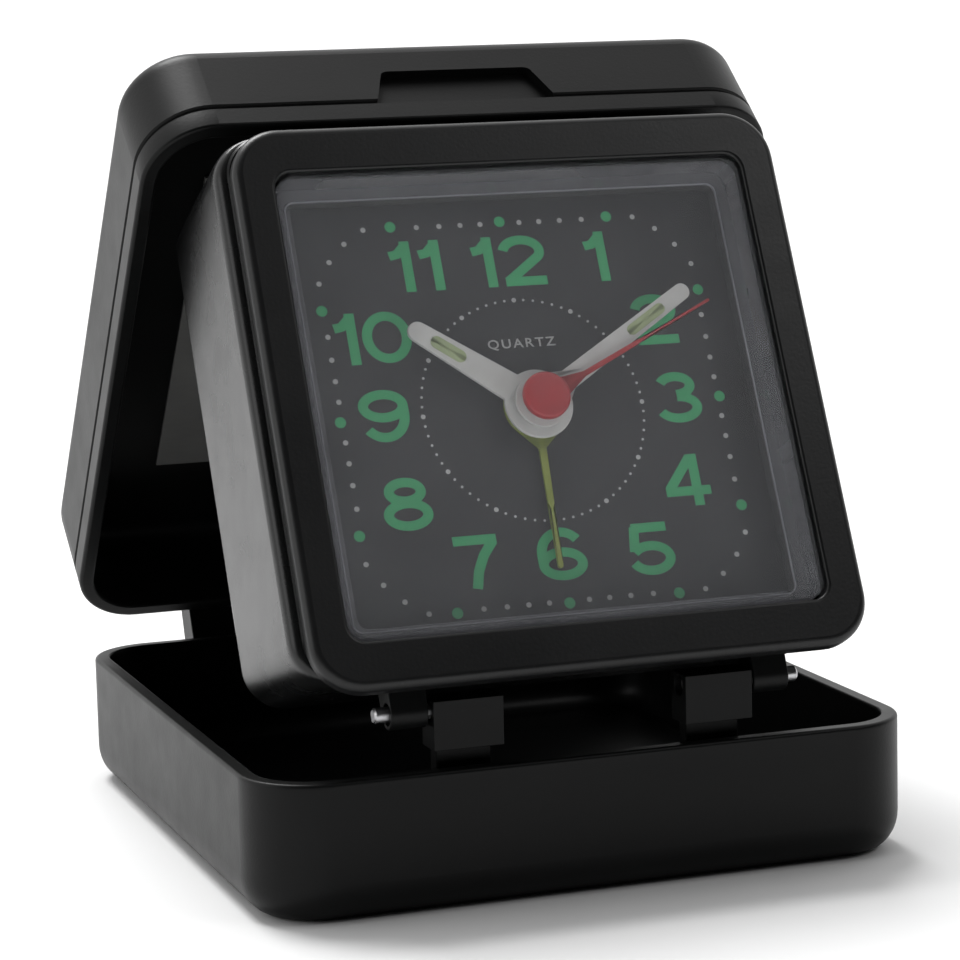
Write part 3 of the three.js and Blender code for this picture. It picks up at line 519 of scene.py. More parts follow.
def drawn_steel(name, colour, roughness=0.28):
    """Bare metal with fine lines along it, small dull spots and a little haze."""
    material, tree, shader, place = start_material(name, {"Metallic": 1.0})
    haze = noise(tree, place, 220, 4)
    tone = blend_colours(tree, remap(tree, haze, 0, 1), tuple(0.75 * c for c in colour), colour)
    lines = noise(tree, place, 2200, 2, (0.06, 1, 1))
    dullness = remap(tree, lines, roughness, roughness + 0.2)
    finish_surface(tree, shader, tone, dullness, lines, 0.15, 0.02 * MM)
    return material


steel = drawn_steel("bright_steel", (0.56, 0.56, 0.57))
for node, radius, pivot in (("lid_hinge_pin", LID_PIN, rear_pivot),
                            ("hinge_pin_left", HEAD_PIN, front_pivot),
                            ("hinge_pin_right", HEAD_PIN, front_pivot)):
    low, high = (c[0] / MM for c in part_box(node))
    pin = add_piece(f"{node}_wire", turned(pin_profile(radius, low, high), (0, *pivot)), "base",
                    steel)
    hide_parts(node)

# ---- Bezel ------------------------------------------------------------------
# The front frame of the head, a square ring in the same black with a rounded outer edge and a
# crisp window edge. It is screwed on from behind.
inward = np.array(joints["second_turn"]["axis"])
upward = np.array([0.0, -inward[2], inward[1]])
DIAL_CENTRE = 30.0
ARBOR_DEPTH = 10.0
hand_point = np.array(joints["second_turn"]["pos_m"]) / MM
face_origin = hand_point - inward * ARBOR_DEPTH - upward * DIAL_CENTRE
FACE_HALF = 30.3
FACE_HEIGHT = 60.3
FACE_CORNER = 4.5
BEZEL_ROUND = 1.0
BEZEL_DEPTH = 2.0
WINDOW_HALF = 27.0
WINDOW_LOW = 4.2
WINDOW_CORNER = 2.0
WINDOW_LIP = (0.35, 0.35)


def lean_back(points):
    """Points across, up the face and outwards, turned and moved to where the leaning head stands."""
    across = np.zeros((len(points), 3))
    across[:, 0] = points[:, 0]
    return face_origin + across + points[:, 1:2] * upward - points[:, 2:3] * inward


def in_head(shape):
    """A shape in the face's own directions, moved into the leaning head."""
    return lean_back(shape[0]), shape[1]


def face_ring(half, low, high, radius, depth):
    """Rounded outline in the plane of the face, at a depth behind it."""
    flat = rounded_outline(half, low, high, radius)
    return np.column_stack([flat, np.full(len(flat), -depth)])


def bezel_ring(grow, depth):
    """The face's outline, grown outwards."""
    return face_ring(FACE_HALF + grow, -grow, FACE_HEIGHT + grow, FACE_CORNER + grow, depth)


def window_ring(inset, depth):
    """The window's outline, drawn inwards."""
    radius = max(WINDOW_CORNER - 0.5 * inset, 0.8)
    top = FACE_HEIGHT - WINDOW_LOW - inset
    return face_ring(WINDOW_HALF - inset, WINDOW_LOW + inset, top, radius, depth)


def bezel_shape():
    """Square ring: up the outside, round on to the face, across it, and down the window's wall."""
    edge = quarter(BEZEL_ROUND, 1.0, 8)[::-1]
    outer = [bezel_ring(BEZEL_ROUND, BEZEL_DEPTH), bezel_ring(BEZEL_ROUND, 1.3)]
    outer += [bezel_ring(BEZEL_ROUND - inset, depth) for inset, depth in edge]
    inner = [bezel_ring(-0.3, 0.0), window_ring(-0.6, 0.0)]
    inner += [window_ring(-grow, depth) for grow, depth in quarter(*WINDOW_LIP, 5)]
    return loft(outer + inner + [window_ring(0, 0.7), window_ring(0, BEZEL_DEPTH)], loop=True)


bezel_black = moulded_plastic("bezel_black", (0.0035, 0.0037, 0.004), (0.0055, 0.0057, 0.006), 0.36,
                              shine=0.35)
bezel = add_piece("bezel_frame", in_head(bezel_shape()), "clock_head", bezel_black)
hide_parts("bezel")

# ---- Rear case of the head --------------------------------------------------
# The deep back shell that holds the movement and the cell. Its sides flare out just behind the
# bezel, its underside climbs so the head can swing down, and the back carries the controls.
HEAD_DEPTH = 24.1
FLARE = 1.3
RISE = 0.128
HEAD_WALL = 1.8
BACK_WALL = 1.6
OUTER_HALF = FACE_HALF + BEZEL_ROUND
WIDE_HALF = OUTER_HALF + FLARE


def rear_low(depth):
    """Height up the face of the back shell's underside, which climbs steadily with depth."""
    return 0.6 + (depth - BEZEL_DEPTH - 0.2) * RISE


def rear_ring(half, shrink, radius, depth):
    """Outline of the back shell at one depth; its lower edge climbs with depth."""
    top = FACE_HEIGHT + BEZEL_ROUND - shrink
    return face_ring(half - shrink, rear_low(depth) + shrink, top, radius, depth)


def rear_case_shape():
    """From the flat back over its rounded edge, along the sides, in at the front and down inside."""
    rings = [rear_ring(WIDE_HALF, 2.0, 3.0, HEAD_DEPTH)]
    edge = quarter(1.5, 1.5, 8)
    rings += [rear_ring(WIDE_HALF, inset, 4.5 - inset, HEAD_DEPTH - h) for inset, h in edge]
    rings += [rear_ring(WIDE_HALF, 0, 4.5, d) for d in (HEAD_DEPTH - 1.9, 4.9, 4.5)]
    flare = np.linspace(0, np.pi / 2, 6)
    rings += [rear_ring(OUTER_HALF + 0.1 + (FLARE - 0.1) * np.cos(a), 0, 4.6, 4.0 - 1.5 * np.sin(a))
              for a in flare]
    rings += [rear_ring(OUTER_HALF + 0.1, 0.0, 4.7, 2.35), rear_ring(OUTER_HALF, 0.1, 4.7, 2.2),
              rear_ring(OUTER_HALF, 1.0, 3.8, 2.2),
              rear_ring(WIDE_HALF, HEAD_WALL, 3.0, 4.0), rear_ring(WIDE_HALF, HEAD_WALL, 3.0, 4.4),
              rear_ring(WIDE_HALF, HEAD_WALL, 3.0, HEAD_DEPTH - BACK_WALL - 0.3),
              rear_ring(WIDE_HALF, HEAD_WALL, 3.0, HEAD_DEPTH - BACK_WALL)]
    return loft(rings)


def from_axis(point):
    """Where a world point lies in the head: across, up the face."""
    step = np.array(point) / MM - face_origin
    return step[0], float(step @ upward)


time_axis = from_axis(joints["time_set_turn"]["pos_m"])
alarm_axis = from_axis(joints["alarm_set_turn"]["pos_m"])
KNOB_RADIUS = 5.2
RECESS_RADIUS = KNOB_RADIUS + 0.5
SWITCH_X = 21.0
SWITCH_TOP = DIAL_CENTRE + 7.0
SWITCH_TRAVEL = 4.0
DOOR_HALF = 27.0
DOOR_TOP = 19.5
BUZZER = (21.15, DIAL_CENTRE + 16)
SLOT_REACH = 6.5
SLOT_TAPER = 1.3
SLOT_PITCH = 2.6
SCREWS = [(x, y) for y in (DOOR_TOP + 3.3, FACE_HEIGHT - 3.7) for x in (-28.5, 28.5)]


def disc(radius, spot, depth0, depth1):
    """Round bar square to the face, between two depths."""
    return turned([(radius, -depth1), (radius, -depth0)], (*spot, 0), axis=2)


def sound_slots():
    """Five rounded slots in front of the buzzer, the middle one longest."""
    for row in range(-2, 3):
        reach = SLOT_REACH - abs(row) * SLOT_TAPER
        middle_up = BUZZER[1] + row * SLOT_PITCH
        flat = rounded_outline(reach, middle_up - 0.5, middle_up + 0.5, 0.48, 4, BUZZER[0])
        yield loft([np.column_stack([flat, np.full(len(flat), -d)]) for d in (HEAD_DEPTH + 1, 21)])


def openings():
    """Everything cut through the back wall: battery bay, knob recesses, switch slot, screw bores."""
    back = (-HEAD_DEPTH - 1, -HEAD_DEPTH + BACK_WALL + 0.8)
    yield slab((-DOOR_HALF - 0.3, DOOR_HALF + 0.3), (-3, DOOR_TOP), (back[0], back[1] - 0.5))
    yield slab((SWITCH_X - 2.1, SWITCH_X + 2.1),
               (SWITCH_TOP - 2 * SWITCH_TRAVEL - 0.4, SWITCH_TOP + 0.4), back)
    for spot in (time_axis, alarm_axis):
        yield disc(RECESS_RADIUS, spot, -back[1], -back[0])
    for spot in SCREWS:
        yield disc(2.1, spot, HEAD_DEPTH - 2.0, HEAD_DEPTH + 1)
    yield from sound_slots()


head_black = moulded_plastic("head_black", (0.003, 0.0032, 0.0033), (0.0045, 0.0047, 0.0048), 0.25,
                             shine=0.35)
rear_case = add_piece("head_back_shell", in_head(rear_case_shape()), "clock_head", head_black)
carve(rear_case, [in_head(cutter) for cutter in openings()])
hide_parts("rear_case")

# ---- Hinge lugs -------------------------------------------------------------
# Two black plastic eyes that hang below the head's front edge, outside the tray's posts.
# They belong to the head and turn on the two steel pins.
LUG_INNER = POST_INNER + POST_WIDTH + 0.4
LUG_WIDTH = 4.1
LUG_BARREL = 1.65
LUG_HOLE = 1.15
AXIS_DEPTH = 6.37
lug_root = [(rear_low(AXIS_DEPTH) + 1.0) * upward + (AXIS_DEPTH - dt) * inward for dt in (-1.9, 1.9)]
lug_corners = [(face_origin + corner)[1:] for corner in lug_root]
for side, word in ((-1, "left"), (1, "right")):
    lug = eye_prism(*mirrored(side, LUG_INNER, LUG_INNER + LUG_WIDTH), lug_corners, front_pivot,
                    LUG_BARREL, LUG_HOLE)
    add_piece(f"hinge_lug_{word}", lug, "clock_head", case_black, bevel=0.15)

# ---- Crystal ----------------------------------------------------------------
# A clear styrene window pressed into the bezel, with a skirt that reaches back round the dial.
# The skirt's inner edge has a pale bead as a painted highlight, and its walls are a milky translucent grey
# as a painted sheen for the light the clear walls catch aslant.
GAP = 0.25
SKIRT = 1.3
SKIRT_DEPTH = 4.3
PLATE_BACK = 1.5


def clear_styrene(name, colour, alpha, roughness):
    """Clear moulding: mostly see-through, with a gloss on top and faint flow marks in it."""
    material, tree, shader, place = start_material(name, {"IOR": 1.5, "Alpha": alpha})
    flow = noise(tree, place, 120, 2, (1, 0.3, 1))
    tone = blend_colours(tree, remap(tree, flow, 0, 1), tuple(0.85 * c for c in colour), colour)
    haze = remap(tree, flow, roughness, roughness + 0.05)
    finish_surface(tree, shader, tone, haze, flow, 0.04, 0.05 * MM)
    return material


def plate_shape():
    """The window itself: a flat plate with a small chamfer round its front edge."""
    return loft([window_ring(GAP, PLATE_BACK), window_ring(GAP, 0.55), window_ring(GAP + 0.12, 0.35),
                 window_ring(GAP + 0.4, 0.2), window_ring(GAP + 0.8, 0.2)])


def skirt_shape():
    """Square ring behind the plate: outer wall, front, inner wall that opens slightly, back edge."""
    inner = GAP + SKIRT
    return loft([window_ring(GAP, SKIRT_DEPTH), window_ring(GAP, PLATE_BACK + 0.02),
                 window_ring(inner, PLATE_BACK + 0.02), window_ring(inner + 0.25, SKIRT_DEPTH)],
                loop=True)


def skirt_line_shape():
    """Painted highlight on the skirt's inner edge, a thin pale bead on its back corner."""
    inner = GAP + SKIRT + 0.25
    return loft([window_ring(inner - 0.04, SKIRT_DEPTH + 0.02), window_ring(inner, SKIRT_DEPTH - 0.2),
                 window_ring(inner + 0.14, SKIRT_DEPTH - 0.2),
                 window_ring(inner + 0.14, SKIRT_DEPTH + 0.02)], loop=True)


window = add_piece("crystal_window", in_head(plate_shape()), "clock_head",
                   clear_styrene("window_styrene", (0.75, 0.77, 0.8), 0.055, 0.04))
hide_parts("crystal")
# Milky grey skirt: painted sheen, the clear walls' reflections put into their colour.
add_piece("crystal_skirt", in_head(skirt_shape()), "clock_head",
          clear_styrene("skirt_painted_sheen", (0.36, 0.36, 0.40), 0.22, 0.12))
# Pale half-opaque bead: a painted highlight for the glint on the crystal's inner edge.
add_piece("crystal_edge_painted_highlight", in_head(skirt_line_shape()), "clock_head",
          clear_styrene("edge_painted_highlight", (0.42, 0.42, 0.46), 0.6, 0.1))

# ---- Dial and its surround --------------------------------------------------
# A card-thin plastic dial, screen printed dark grey.
# A spacer in the same grey stands round it, under the crystal.


def printed_ink(name, colour, roughness=0.6, cloud=0.12):
    """Screen-printed ink: even colour with slight clouding, a fine stipple and a dry surface."""
    material, tree, shader, place = start_material(name, {"IOR": 1.45})
    low = tuple((1 - cloud) * c for c in colour)
    tone = blend_colours(tree, remap(tree, noise(tree, place, 320, 4), 0, 1), low, colour)
    stipple = noise(tree, place, 5200, 2)
    dryness = remap(tree, stipple, roughness - 0.05, roughness + 0.1)
    finish_surface(tree, shader, tone, dryness, stipple, 0.25, 0.01 * MM)
    return material


dress(printed_ink("dial_grey", (0.034, 0.034, 0.038)), "dial", "dial_surround")

# ---- Hour numerals ----------------------------------------------------------
# Twelve upright, wide numerals in thick green ink that glows faintly after light, printed on the
# dial. Each figure is drawn with a flat pen of one width.
DIAL_FACE = 6.95
INK = 0.04
NUMERAL_HEIGHT = 5.9
PEN = 0.088
FIGURE_WIDTH = 0.88
FIGURE_GAP = 0.06
STRETCH = 1.08
STROKE_DROP = 0.008
NUMERAL_SPOTS = {12: (0.2, 17.3), 1: (10.5, 17.3), 2: (16.1, 9.5), 3: (17.0, 0.2), 4: (16.1, -9.4),
                 5: (10.4, -16.8), 6: (0.1, -16.5), 7: (-9.4, -16.6), 8: (-16.2, -9.6),
                 9: (-17.0, 0.4), 10: (-16.9, 9.3), 11: (-10.6, 17.3)}


def bow(x, y, wide, tall, start, end, steps=20):
    """Part of an ellipse about (x, y): x + wide cos a, y + tall sin a, for a from start to end."""
    turn = np.radians(np.linspace(start, end, steps))
    return [(x + wide * np.cos(a), y + tall * np.sin(a)) for a in turn]


def turned_round(strokes):
    """The same strokes upside down: each point goes to the far side of the figure's middle."""
    return [([(FIGURE_WIDTH - x, 1 - y) for x, y in path], closed) for path, closed in strokes]


def loop_stroke(x, y, wide, tall):
    """A whole ellipse, drawn as one closed stroke."""
    return bow(x, y, wide, tall, 0, 350, 36), True


SIX = [loop_stroke(0.44, 0.31, 0.35, 0.222),
       (bow(0.46, 0.5, 0.37, 0.412, 38, 180) + [(0.09, 0.31)], False)]
FIGURES = {
    "0": [loop_stroke(0.44, 0.5, 0.35, 0.412)],
    "1": [([(0.36, 0), (0.36, 1)], False), ([(0.06, 0.72), (0.2, 0.745), (0.33, 0.88)], False)],
    "2": [(bow(0.44, 0.68, 0.335, 0.232, 172, -28) + [(0.14, 0.11)], False),
          ([(0.07, 0.088), (0.83, 0.088)], False)],
    "3": [(bow(0.43, 0.735, 0.28, 0.177, 160, -90), False),
          (bow(0.43, 0.3, 0.345, 0.212, 90, -162), False)],
    "4": [([(0.57, 0.95), (0.1, 0.33)], False), ([(0.03, 0.29), (0.86, 0.29)], False),
          ([(0.61, 0), (0.61, 1)], False)],
    "5": [([(0.15, 0.912), (0.78, 0.912)], False), ([(0.2, 0.93), (0.14, 0.46)], False),
          (bow(0.43, 0.325, 0.345, 0.237, 148, -162), False)],
    "6": SIX,
    "7": [([(0.05, 0.912), (0.82, 0.912)], False),
          ([(0.76, 0.88), (0.56, 0.62), (0.42, 0.32), (0.35, 0)], False)],
    "8": [loop_stroke(0.44, 0.735, 0.28, 0.177), loop_stroke(0.44, 0.3, 0.345, 0.212)],
    "9": turned_round(SIX)}
ADVANCE = {"1": 0.53}


def pen_stroke(path, closed, lift):
    """Flat ribbon of ink: at each path point the section reaches PEN to both sides, square to the
    mean direction of the two lines that meet there."""
    path = np.asarray(path, float)
    along = np.gradient(np.vstack([path[-1], path, path[0]]), axis=0)[1:-1] if closed else \
        np.gradient(path, axis=0)
    along /= np.linalg.norm(along, axis=1)[:, None]
    side = PEN * np.column_stack([-along[:, 1], along[:, 0]])
    sections = [np.array([[*(p + q), lift], [*(p - q), lift], [*(p - q), 0], [*(p + q), 0]])
                for p, q in zip(path, side)]
    return loft(sections + sections[:1], caps=False) if closed else loft(sections)


def numeral(text, spot):
    """Figures set side by side, each stroke a touch lower than the last, scaled to the numeral height
    and centred on a spot of the dial."""
    shapes, start = [], 0.0
    for sign in text:
        for order, (path, closed) in enumerate(FIGURES[sign]):
            points, faces = pen_stroke(path, closed, (INK - STROKE_DROP * order) / NUMERAL_HEIGHT)
            shapes.append((np.asarray(points) + [start, 0, 0], faces))
        start += ADVANCE.get(sign, FIGURE_WIDTH + FIGURE_GAP)
    points, faces = join(*shapes)
    points = (points - [(start - FIGURE_GAP) / 2, 0.5, 0]) * NUMERAL_HEIGHT * [STRETCH, 1, 1]
    return points + [spot[0], spot[1] + DIAL_CENTRE, -DIAL_FACE], faces


luminous_green = printed_ink("luminous_green", (0.06, 0.46, 0.19), 0.55, 0.1)
numerals = [numeral(str(hour), spot) for hour, spot in NUMERAL_SPOTS.items()]
add_piece("hour_numerals", in_head(join(*numerals)), "clock_head", luminous_green)

# ---- Dots and word on the dial ----------------------------------------------
# A square track of minute dots with a bigger green dot at each hour, and a small round track for
# the alarm setting with one dot for every ten minutes. One plain word says what drives it.
TRACK = 22.0
ALARM_TRACK = 12.7
CORNER_FROM = 19.0
CORNER_PULL = 0.93
HOUR_DOT = 0.62
MINUTE_DOT = 0.3
SCALE_DOTS = (0.27, 0.15)


def lettering(text, height, spot, depth, weight, width=1.0, spacing=1.0):
    """Solid letters from the built-in face: capitals of one height, thickened by weight, stood on
    the dial about a middle spot."""
    curve = bpy.data.curves.new("letters", "FONT")
    curve.body = text
    curve.extrude = 0.5
    curve.offset = weight
    curve.space_character = spacing
    curve.resolution_u = 4
    holder = add_object("letters", curve)
    flat = mesh_of(holder)
    points = np.empty(len(flat.vertices) * 3)
    flat.vertices.foreach_get("co", points)
    points = points.reshape(-1, 3)
    faces = [list(p.vertices) for p in flat.polygons]
    bpy.data.objects.remove(holder)
    low, high = points.min(0), points.max(0)
    scale = height / (high[1] - low[1])
    points = (points - (low + high) / 2) * [scale * width, scale, INK / (high[2] - low[2])]
    return points + [spot[0], spot[1] + DIAL_CENTRE, INK / 2 - depth], faces


def dots(centres, radius, sides=12):
    """Flat coins of ink, one per centre: the same little prism repeated by array addition."""
    centres = np.asarray(centres, float)
    turn = np.linspace(0, 2 * np.pi, sides, endpoint=False)
    rim = np.column_stack([np.cos(turn), np.sin(turn)])
    shapes = []
    for centre, size in zip(centres, np.broadcast_to(radius, len(centres))):
        flat = centre + rim * size + [0, DIAL_CENTRE]
        shapes.append(loft([np.column_stack([flat, np.full(sides, z)])
                            for z in (-DIAL_FACE, INK - DIAL_FACE)]))
    return join(*shapes)


def square_track(degrees, reach=TRACK):
    """Where rays at clock angles meet a square: each ray scaled by reach over its larger part."""
    turn = np.radians(90 - np.asarray(degrees, float))
    ray = np.column_stack([np.cos(turn), np.sin(turn)])
    return ray * (reach / np.abs(ray).max(1))[:, None]


hours = np.arange(0, 360, 30)
minutes = np.array([m * 6 for m in range(60) if m % 5])
minute_spots = square_track(minutes, TRACK - 0.2)
corner = np.abs(minute_spots).min(1) > CORNER_FROM
minute_spots[corner] *= CORNER_PULL
add_piece("hour_dots", in_head(dots(square_track(hours), HOUR_DOT, 20)), "clock_head", luminous_green)
white_ink = printed_ink("white_ink", (0.55, 0.55, 0.55), 0.6, 0.2)
add_piece("minute_dots", in_head(dots(minute_spots, MINUTE_DOT)), "clock_head", white_ink)
steps = np.arange(72) * 5
turn = np.radians(steps)
ring = ALARM_TRACK * np.column_stack([np.sin(turn), np.cos(turn)])
size = np.where(steps % 30 == 0, *SCALE_DOTS)
add_piece("alarm_scale_dots", in_head(dots(ring, size, 10)), "clock_head", white_ink)
add_piece("dial_word", in_head(lettering("QUARTZ", 1.25, (0, 7.6), DIAL_FACE, 0.01, 1.15, 1.25)),
          "clock_head", white_ink)

# ---- Hands ------------------------------------------------------------------
# Stamped and painted hands on nested tubes: a lime alarm pointer lowest, white hour and minute
# hands with a pale luminous strip, and a thin red second hand under a domed red cap.
HOUR_ANGLE = 306.5
MINUTE_ANGLE = 58.3
SECOND_ANGLE = 64.7
ALARM_ANGLE = 181.8


def blade_outline(length, root, tip, hub):
    """One side goes from the hub's circle along a straight taper to a round tip; the other side
    mirrors it, and the hub's arc closes the line. The hand points along +X."""
    start = np.arcsin(root / hub)
    arc = np.linspace(start, 2 * np.pi - start, 40)
    hub_line = hub * np.column_stack([np.cos(arc), np.sin(arc)])
    round_tip = np.linspace(-np.pi / 2, np.pi / 2, 16)
    tip_line = np.column_stack([length - tip + tip * np.cos(round_tip), tip * np.sin(round_tip)])
    return np.vstack([hub_line, tip_line])


def pointed(line, angle):
    """Turns an outline that points along +X to a clock angle, about the dial's centre."""
    turn = np.radians(90 - angle)
    c, s = np.cos(turn), np.sin(turn)
    return line @ np.array([[c, s], [-s, c]]) + [0, DIAL_CENTRE]


def sheet_metal(line, depth0, depth1):
    """Outline punched from sheet, from the back depth to the front depth."""
    return loft([np.column_stack([line, np.full(len(line), -d)]) for d in (depth1, depth0)])


def painted(name, colour, roughness, coat=0.0):
    """Sprayed paint: faint orange peel, slight unevenness in tone and gloss."""
    material, tree, shader, place = start_material(name, {"Coat Weight": coat, "IOR": 1.5})
    low = tuple(0.88 * c for c in colour)
    tone = blend_colours(tree, remap(tree, noise(tree, place, 420, 3), 0, 1), low, colour)
    peel = noise(tree, place, 1300, 2)
    gloss = remap(tree, peel, roughness - 0.05, roughness + 0.06)
    finish_surface(tree, shader, tone, gloss, peel, 0.2, 0.02 * MM)
    return material


white_paint = painted("hand_white", (0.68, 0.68, 0.67), 0.45)
lume = printed_ink("lume_strip", (0.44, 0.52, 0.30), 0.7, 0.2)
red_paint = painted("hand_red", (0.42, 0.022, 0.03), 0.42)
lime_paint = painted("hand_lime", (0.30, 0.36, 0.07), 0.5)


def strip_outline(start, end, half):
    """Long rounded strip of luminous paste along a hand."""
    return rounded_outline(half, start, end, half * 0.95, 6)[:, ::-1] * [1, -1]


def add_hand(name, node, body, line, angle, depths, material, bevel):
    """Painted hand at a clock angle, in place of its frame node."""
    hand = add_piece(name, in_head(sheet_metal(pointed(line, angle), *depths)), body, material,
                     bevel=bevel)
    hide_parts(node)


def add_strip(name, body, line, angle, depth):
    """Strip of paste 0.1 mm thick, half sunk in its hand's front."""
    add_piece(name, in_head(sheet_metal(pointed(line, angle), depth - 0.05, depth + 0.05)), body, lume)


add_hand("alarm_pointer", "alarm_hand", "alarm_arbor", blade_outline(18.3, 0.42, 0.3, 3.7), ALARM_ANGLE,
         (6.0, 6.35), lime_paint, 0.08)
add_hand("hour_blade", "hour_hand", "hour_arbor", blade_outline(16.4, 1.65, 1.15, 3.9), HOUR_ANGLE,
         (5.0, 5.5), white_paint, 0.14)
add_strip("hour_lume", "hour_arbor", strip_outline(9.3, 13.6, 0.72), HOUR_ANGLE, 5.0)
add_hand("minute_blade", "minute_hand", "minute_arbor", blade_outline(22.8, 1.2, 0.95, 3.0),
         MINUTE_ANGLE, (3.9, 4.3), white_paint, 0.12)
add_strip("minute_lume", "minute_arbor", strip_outline(13.4, 18.9, 0.62), MINUTE_ANGLE, 3.9)
add_hand("second_blade", "second_hand", "second_arbor", blade_outline(23.6, 0.33, 0.17, 1.8),
         SECOND_ANGLE, (3.1, 3.35), red_paint, 0.05)


def cap_shape():
    """Low domed button: a straight foot, a rounded shoulder and a slightly crowned top."""
    shoulder = np.linspace(0, np.pi / 2, 8)
    edge = np.column_stack([2.25 + 0.4 * np.cos(shoulder), -2.3 + 0.34 * np.sin(shoulder)])
    crown = np.linspace(1.9, 0.25, 6)
    top = np.column_stack([crown, -1.96 + 0.055 * (1 - (crown / 2.25) ** 2)])
    return turned(np.vstack([[2.55, -2.9], [2.65, -2.8], [2.65, -2.45], edge, top]),
                  (0, DIAL_CENTRE, 0), axis=2)


cap = add_piece("second_button", in_head(cap_shape()), "second_arbor", red_paint)
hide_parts("second_cap")

# ---- Battery door -----------------------------------------------------------
# A flat black plastic cover over the cell's bay, with two thumb ribs near its top.
# It slides down off the back's lower edge.
DOOR_LOW = rear_low(HEAD_DEPTH) + 0.4
DOOR_HIGH = DOOR_TOP - 0.3
door_parts = [slab((-DOOR_HALF, DOOR_HALF), (DOOR_LOW, DOOR_HIGH),
                   (-HEAD_DEPTH + 0.35, -HEAD_DEPTH + BACK_WALL))]
door_parts += [slab((-6, 6), (DOOR_HIGH - drop, DOOR_HIGH - drop + 0.8),
                    (-HEAD_DEPTH + 0.1, -HEAD_DEPTH + 0.5)) for drop in (4.8, 3.0)]
door = add_piece("door_cover", in_head(join(*door_parts)), "door", case_black,
                 bevel=0.12)
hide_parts("battery_door")

# ---- Setting knobs ----------------------------------------------------------
# Two black plastic discs with a knurled rim and a finger bar across the middle.
# They sit in recesses in the back and are pushed on to the movement's shafts.


def knob_shape(spot):
    """Knurled rim carried round the shaft's axis, dished in the middle, with a bar across it."""
    back = -HEAD_DEPTH
    rim = turned([(KNOB_RADIUS - 0.15, back + 2.7), (KNOB_RADIUS - 0.1, back + 2.5),
                  (KNOB_RADIUS - 0.1, back + 1.1), (KNOB_RADIUS - 0.3, back + 0.9),
                  (KNOB_RADIUS - 0.9, back + 0.9), (KNOB_RADIUS - 1.1, back + 1.45),
                  (1.0, back + 1.5)], (*spot, 0), axis=2, ripple=0.012, teeth=36)
    grip = KNOB_RADIUS - 0.8
    bar = slab((spot[0] - grip, spot[0] + grip), (spot[1] - 0.7, spot[1] + 0.7),
               (back + 0.35, back + 1.7))
    return join(rim, bar)


for name, body, spot in (("time_set_knob", "time_setter", time_axis),
                         ("alarm_set_knob", "alarm_setter", alarm_axis)):
    knob = add_piece(f"{name}_knurled", in_head(knob_shape(spot)), body, bezel_black,
                     bevel=0.06)
    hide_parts(name)

# ---- Alarm switch -----------------------------------------------------------
# A red plastic slider in a slot of the back, ridged for the fingertip.
# The plate that carries it is hidden behind the wall.


def switch_shape():
    """Finger block whose outer face has three rounded ridges: its height follows a cosine."""
    up = np.linspace(SWITCH_TOP - SWITCH_TRAVEL, SWITCH_TOP, 33)
    wave = 0.14 * (1 - np.cos((up - up[0]) / SWITCH_TRAVEL * 6 * np.pi)) / 2
    face = np.column_stack([up, -HEAD_DEPTH + 0.3 + 0.14 - wave])
    section = np.vstack([face, [up[-1], -HEAD_DEPTH + 2.2], [up[0], -HEAD_DEPTH + 2.2]])
    finger = loft([np.column_stack([np.full(len(section), x), section])
                   for x in (SWITCH_X - 1.8, SWITCH_X + 1.8)])
    plate = slab((SWITCH_X - 3, SWITCH_X + 3), (SWITCH_TOP - SWITCH_TRAVEL - 1, SWITCH_TOP + 1),
                 (-HEAD_DEPTH + 1.95, -HEAD_DEPTH + 2.8))
    return join(finger, plate)


slider = add_piece("alarm_slider", in_head(switch_shape()), "switch",
                   moulded_plastic("switch_red", (0.30, 0.015, 0.02), (0.38, 0.02, 0.025), 0.42))
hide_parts("alarm_switch")

# ---- Parts inside the head --------------------------------------------------
# The screws, the cell with its contacts, and the quartz movement keep their frame shapes, because
# they're closed in; each kind gets the finish of its own stuff.
yellow_brass = drawn_steel("plain_brass", (0.62, 0.46, 0.20), 0.32)
winding = drawn_steel("enamelled_copper", (0.50, 0.20, 0.10), 0.35)
natural = moulded_plastic("natural_acetal", (0.55, 0.53, 0.46), (0.66, 0.64, 0.57), 0.45)
laminate = printed_ink("board_laminate", (0.04, 0.17, 0.07), 0.4, 0.3)
wrapper = painted("cell_wrapper", (0.07, 0.12, 0.20), 0.3, 0.4)
dress(steel, "case_screw_1", "case_screw_2", "case_screw_3", "case_screw_4", "battery_spring",
      "battery_contact", "stator", "rotor")
dress(yellow_brass, "minute_wheel", "buzzer")
dress(winding, "coil")
dress(natural, "motion_wheel", "hour_wheel", "alarm_wheel", "alarm_pinion", "second_wheel",
      "intermediate_wheel", "movement_front", "movement_back")
dress(laminate, "circuit_board")
dress(wrapper, "battery_cell")

# ---- Studio -----------------------------------------------------------------
# A white sweep lit from behind and above, with a soft box at the left and a small one high at the
# front right, seen through a long lens from the left and a little above.
FLOOR_REACH = 40000


def studio_floor():
    """Flat sheet far larger than the clock, with a barely mottled matt finish."""
    ring = FLOOR_REACH * np.array([(-1, -1), (1, -1), (1, 1), (-1, 1)], float)
    mesh = bpy.data.meshes.new("studio_floor")
    mesh.from_pydata((np.column_stack([ring, np.zeros(4)]) * MM).tolist(), [], [(0, 1, 2, 3)])
    floor = add_object("studio_floor", mesh)
    material, tree, shader, place = start_material("sweep_paper", {"Specular IOR Level": 0.2})
    tone = blend_colours(tree, noise(tree, place, 8, 2), (0.86, 0.86, 0.86), (0.88, 0.88, 0.88))
    tree.links.new(tone, shader.inputs["Base Color"])
    tree.links.new(remap(tree, noise(tree, place, 60, 2), 0.75, 0.9), shader.inputs["Roughness"])
    mesh.materials.append(material)


def soft_box(name, spot, target, size, power):
    """Square lamp that faces a target."""
    light = bpy.data.lights.new(name, "AREA")
    light.shape = "RECTANGLE"
    light.size, light.size_y = size
    light.energy = power
    lamp = add_object(name, light)
    lamp.location = spot
    lamp.rotation_euler = (Vector(target) - Vector(spot)).to_track_quat("-Z", "Y").to_euler()


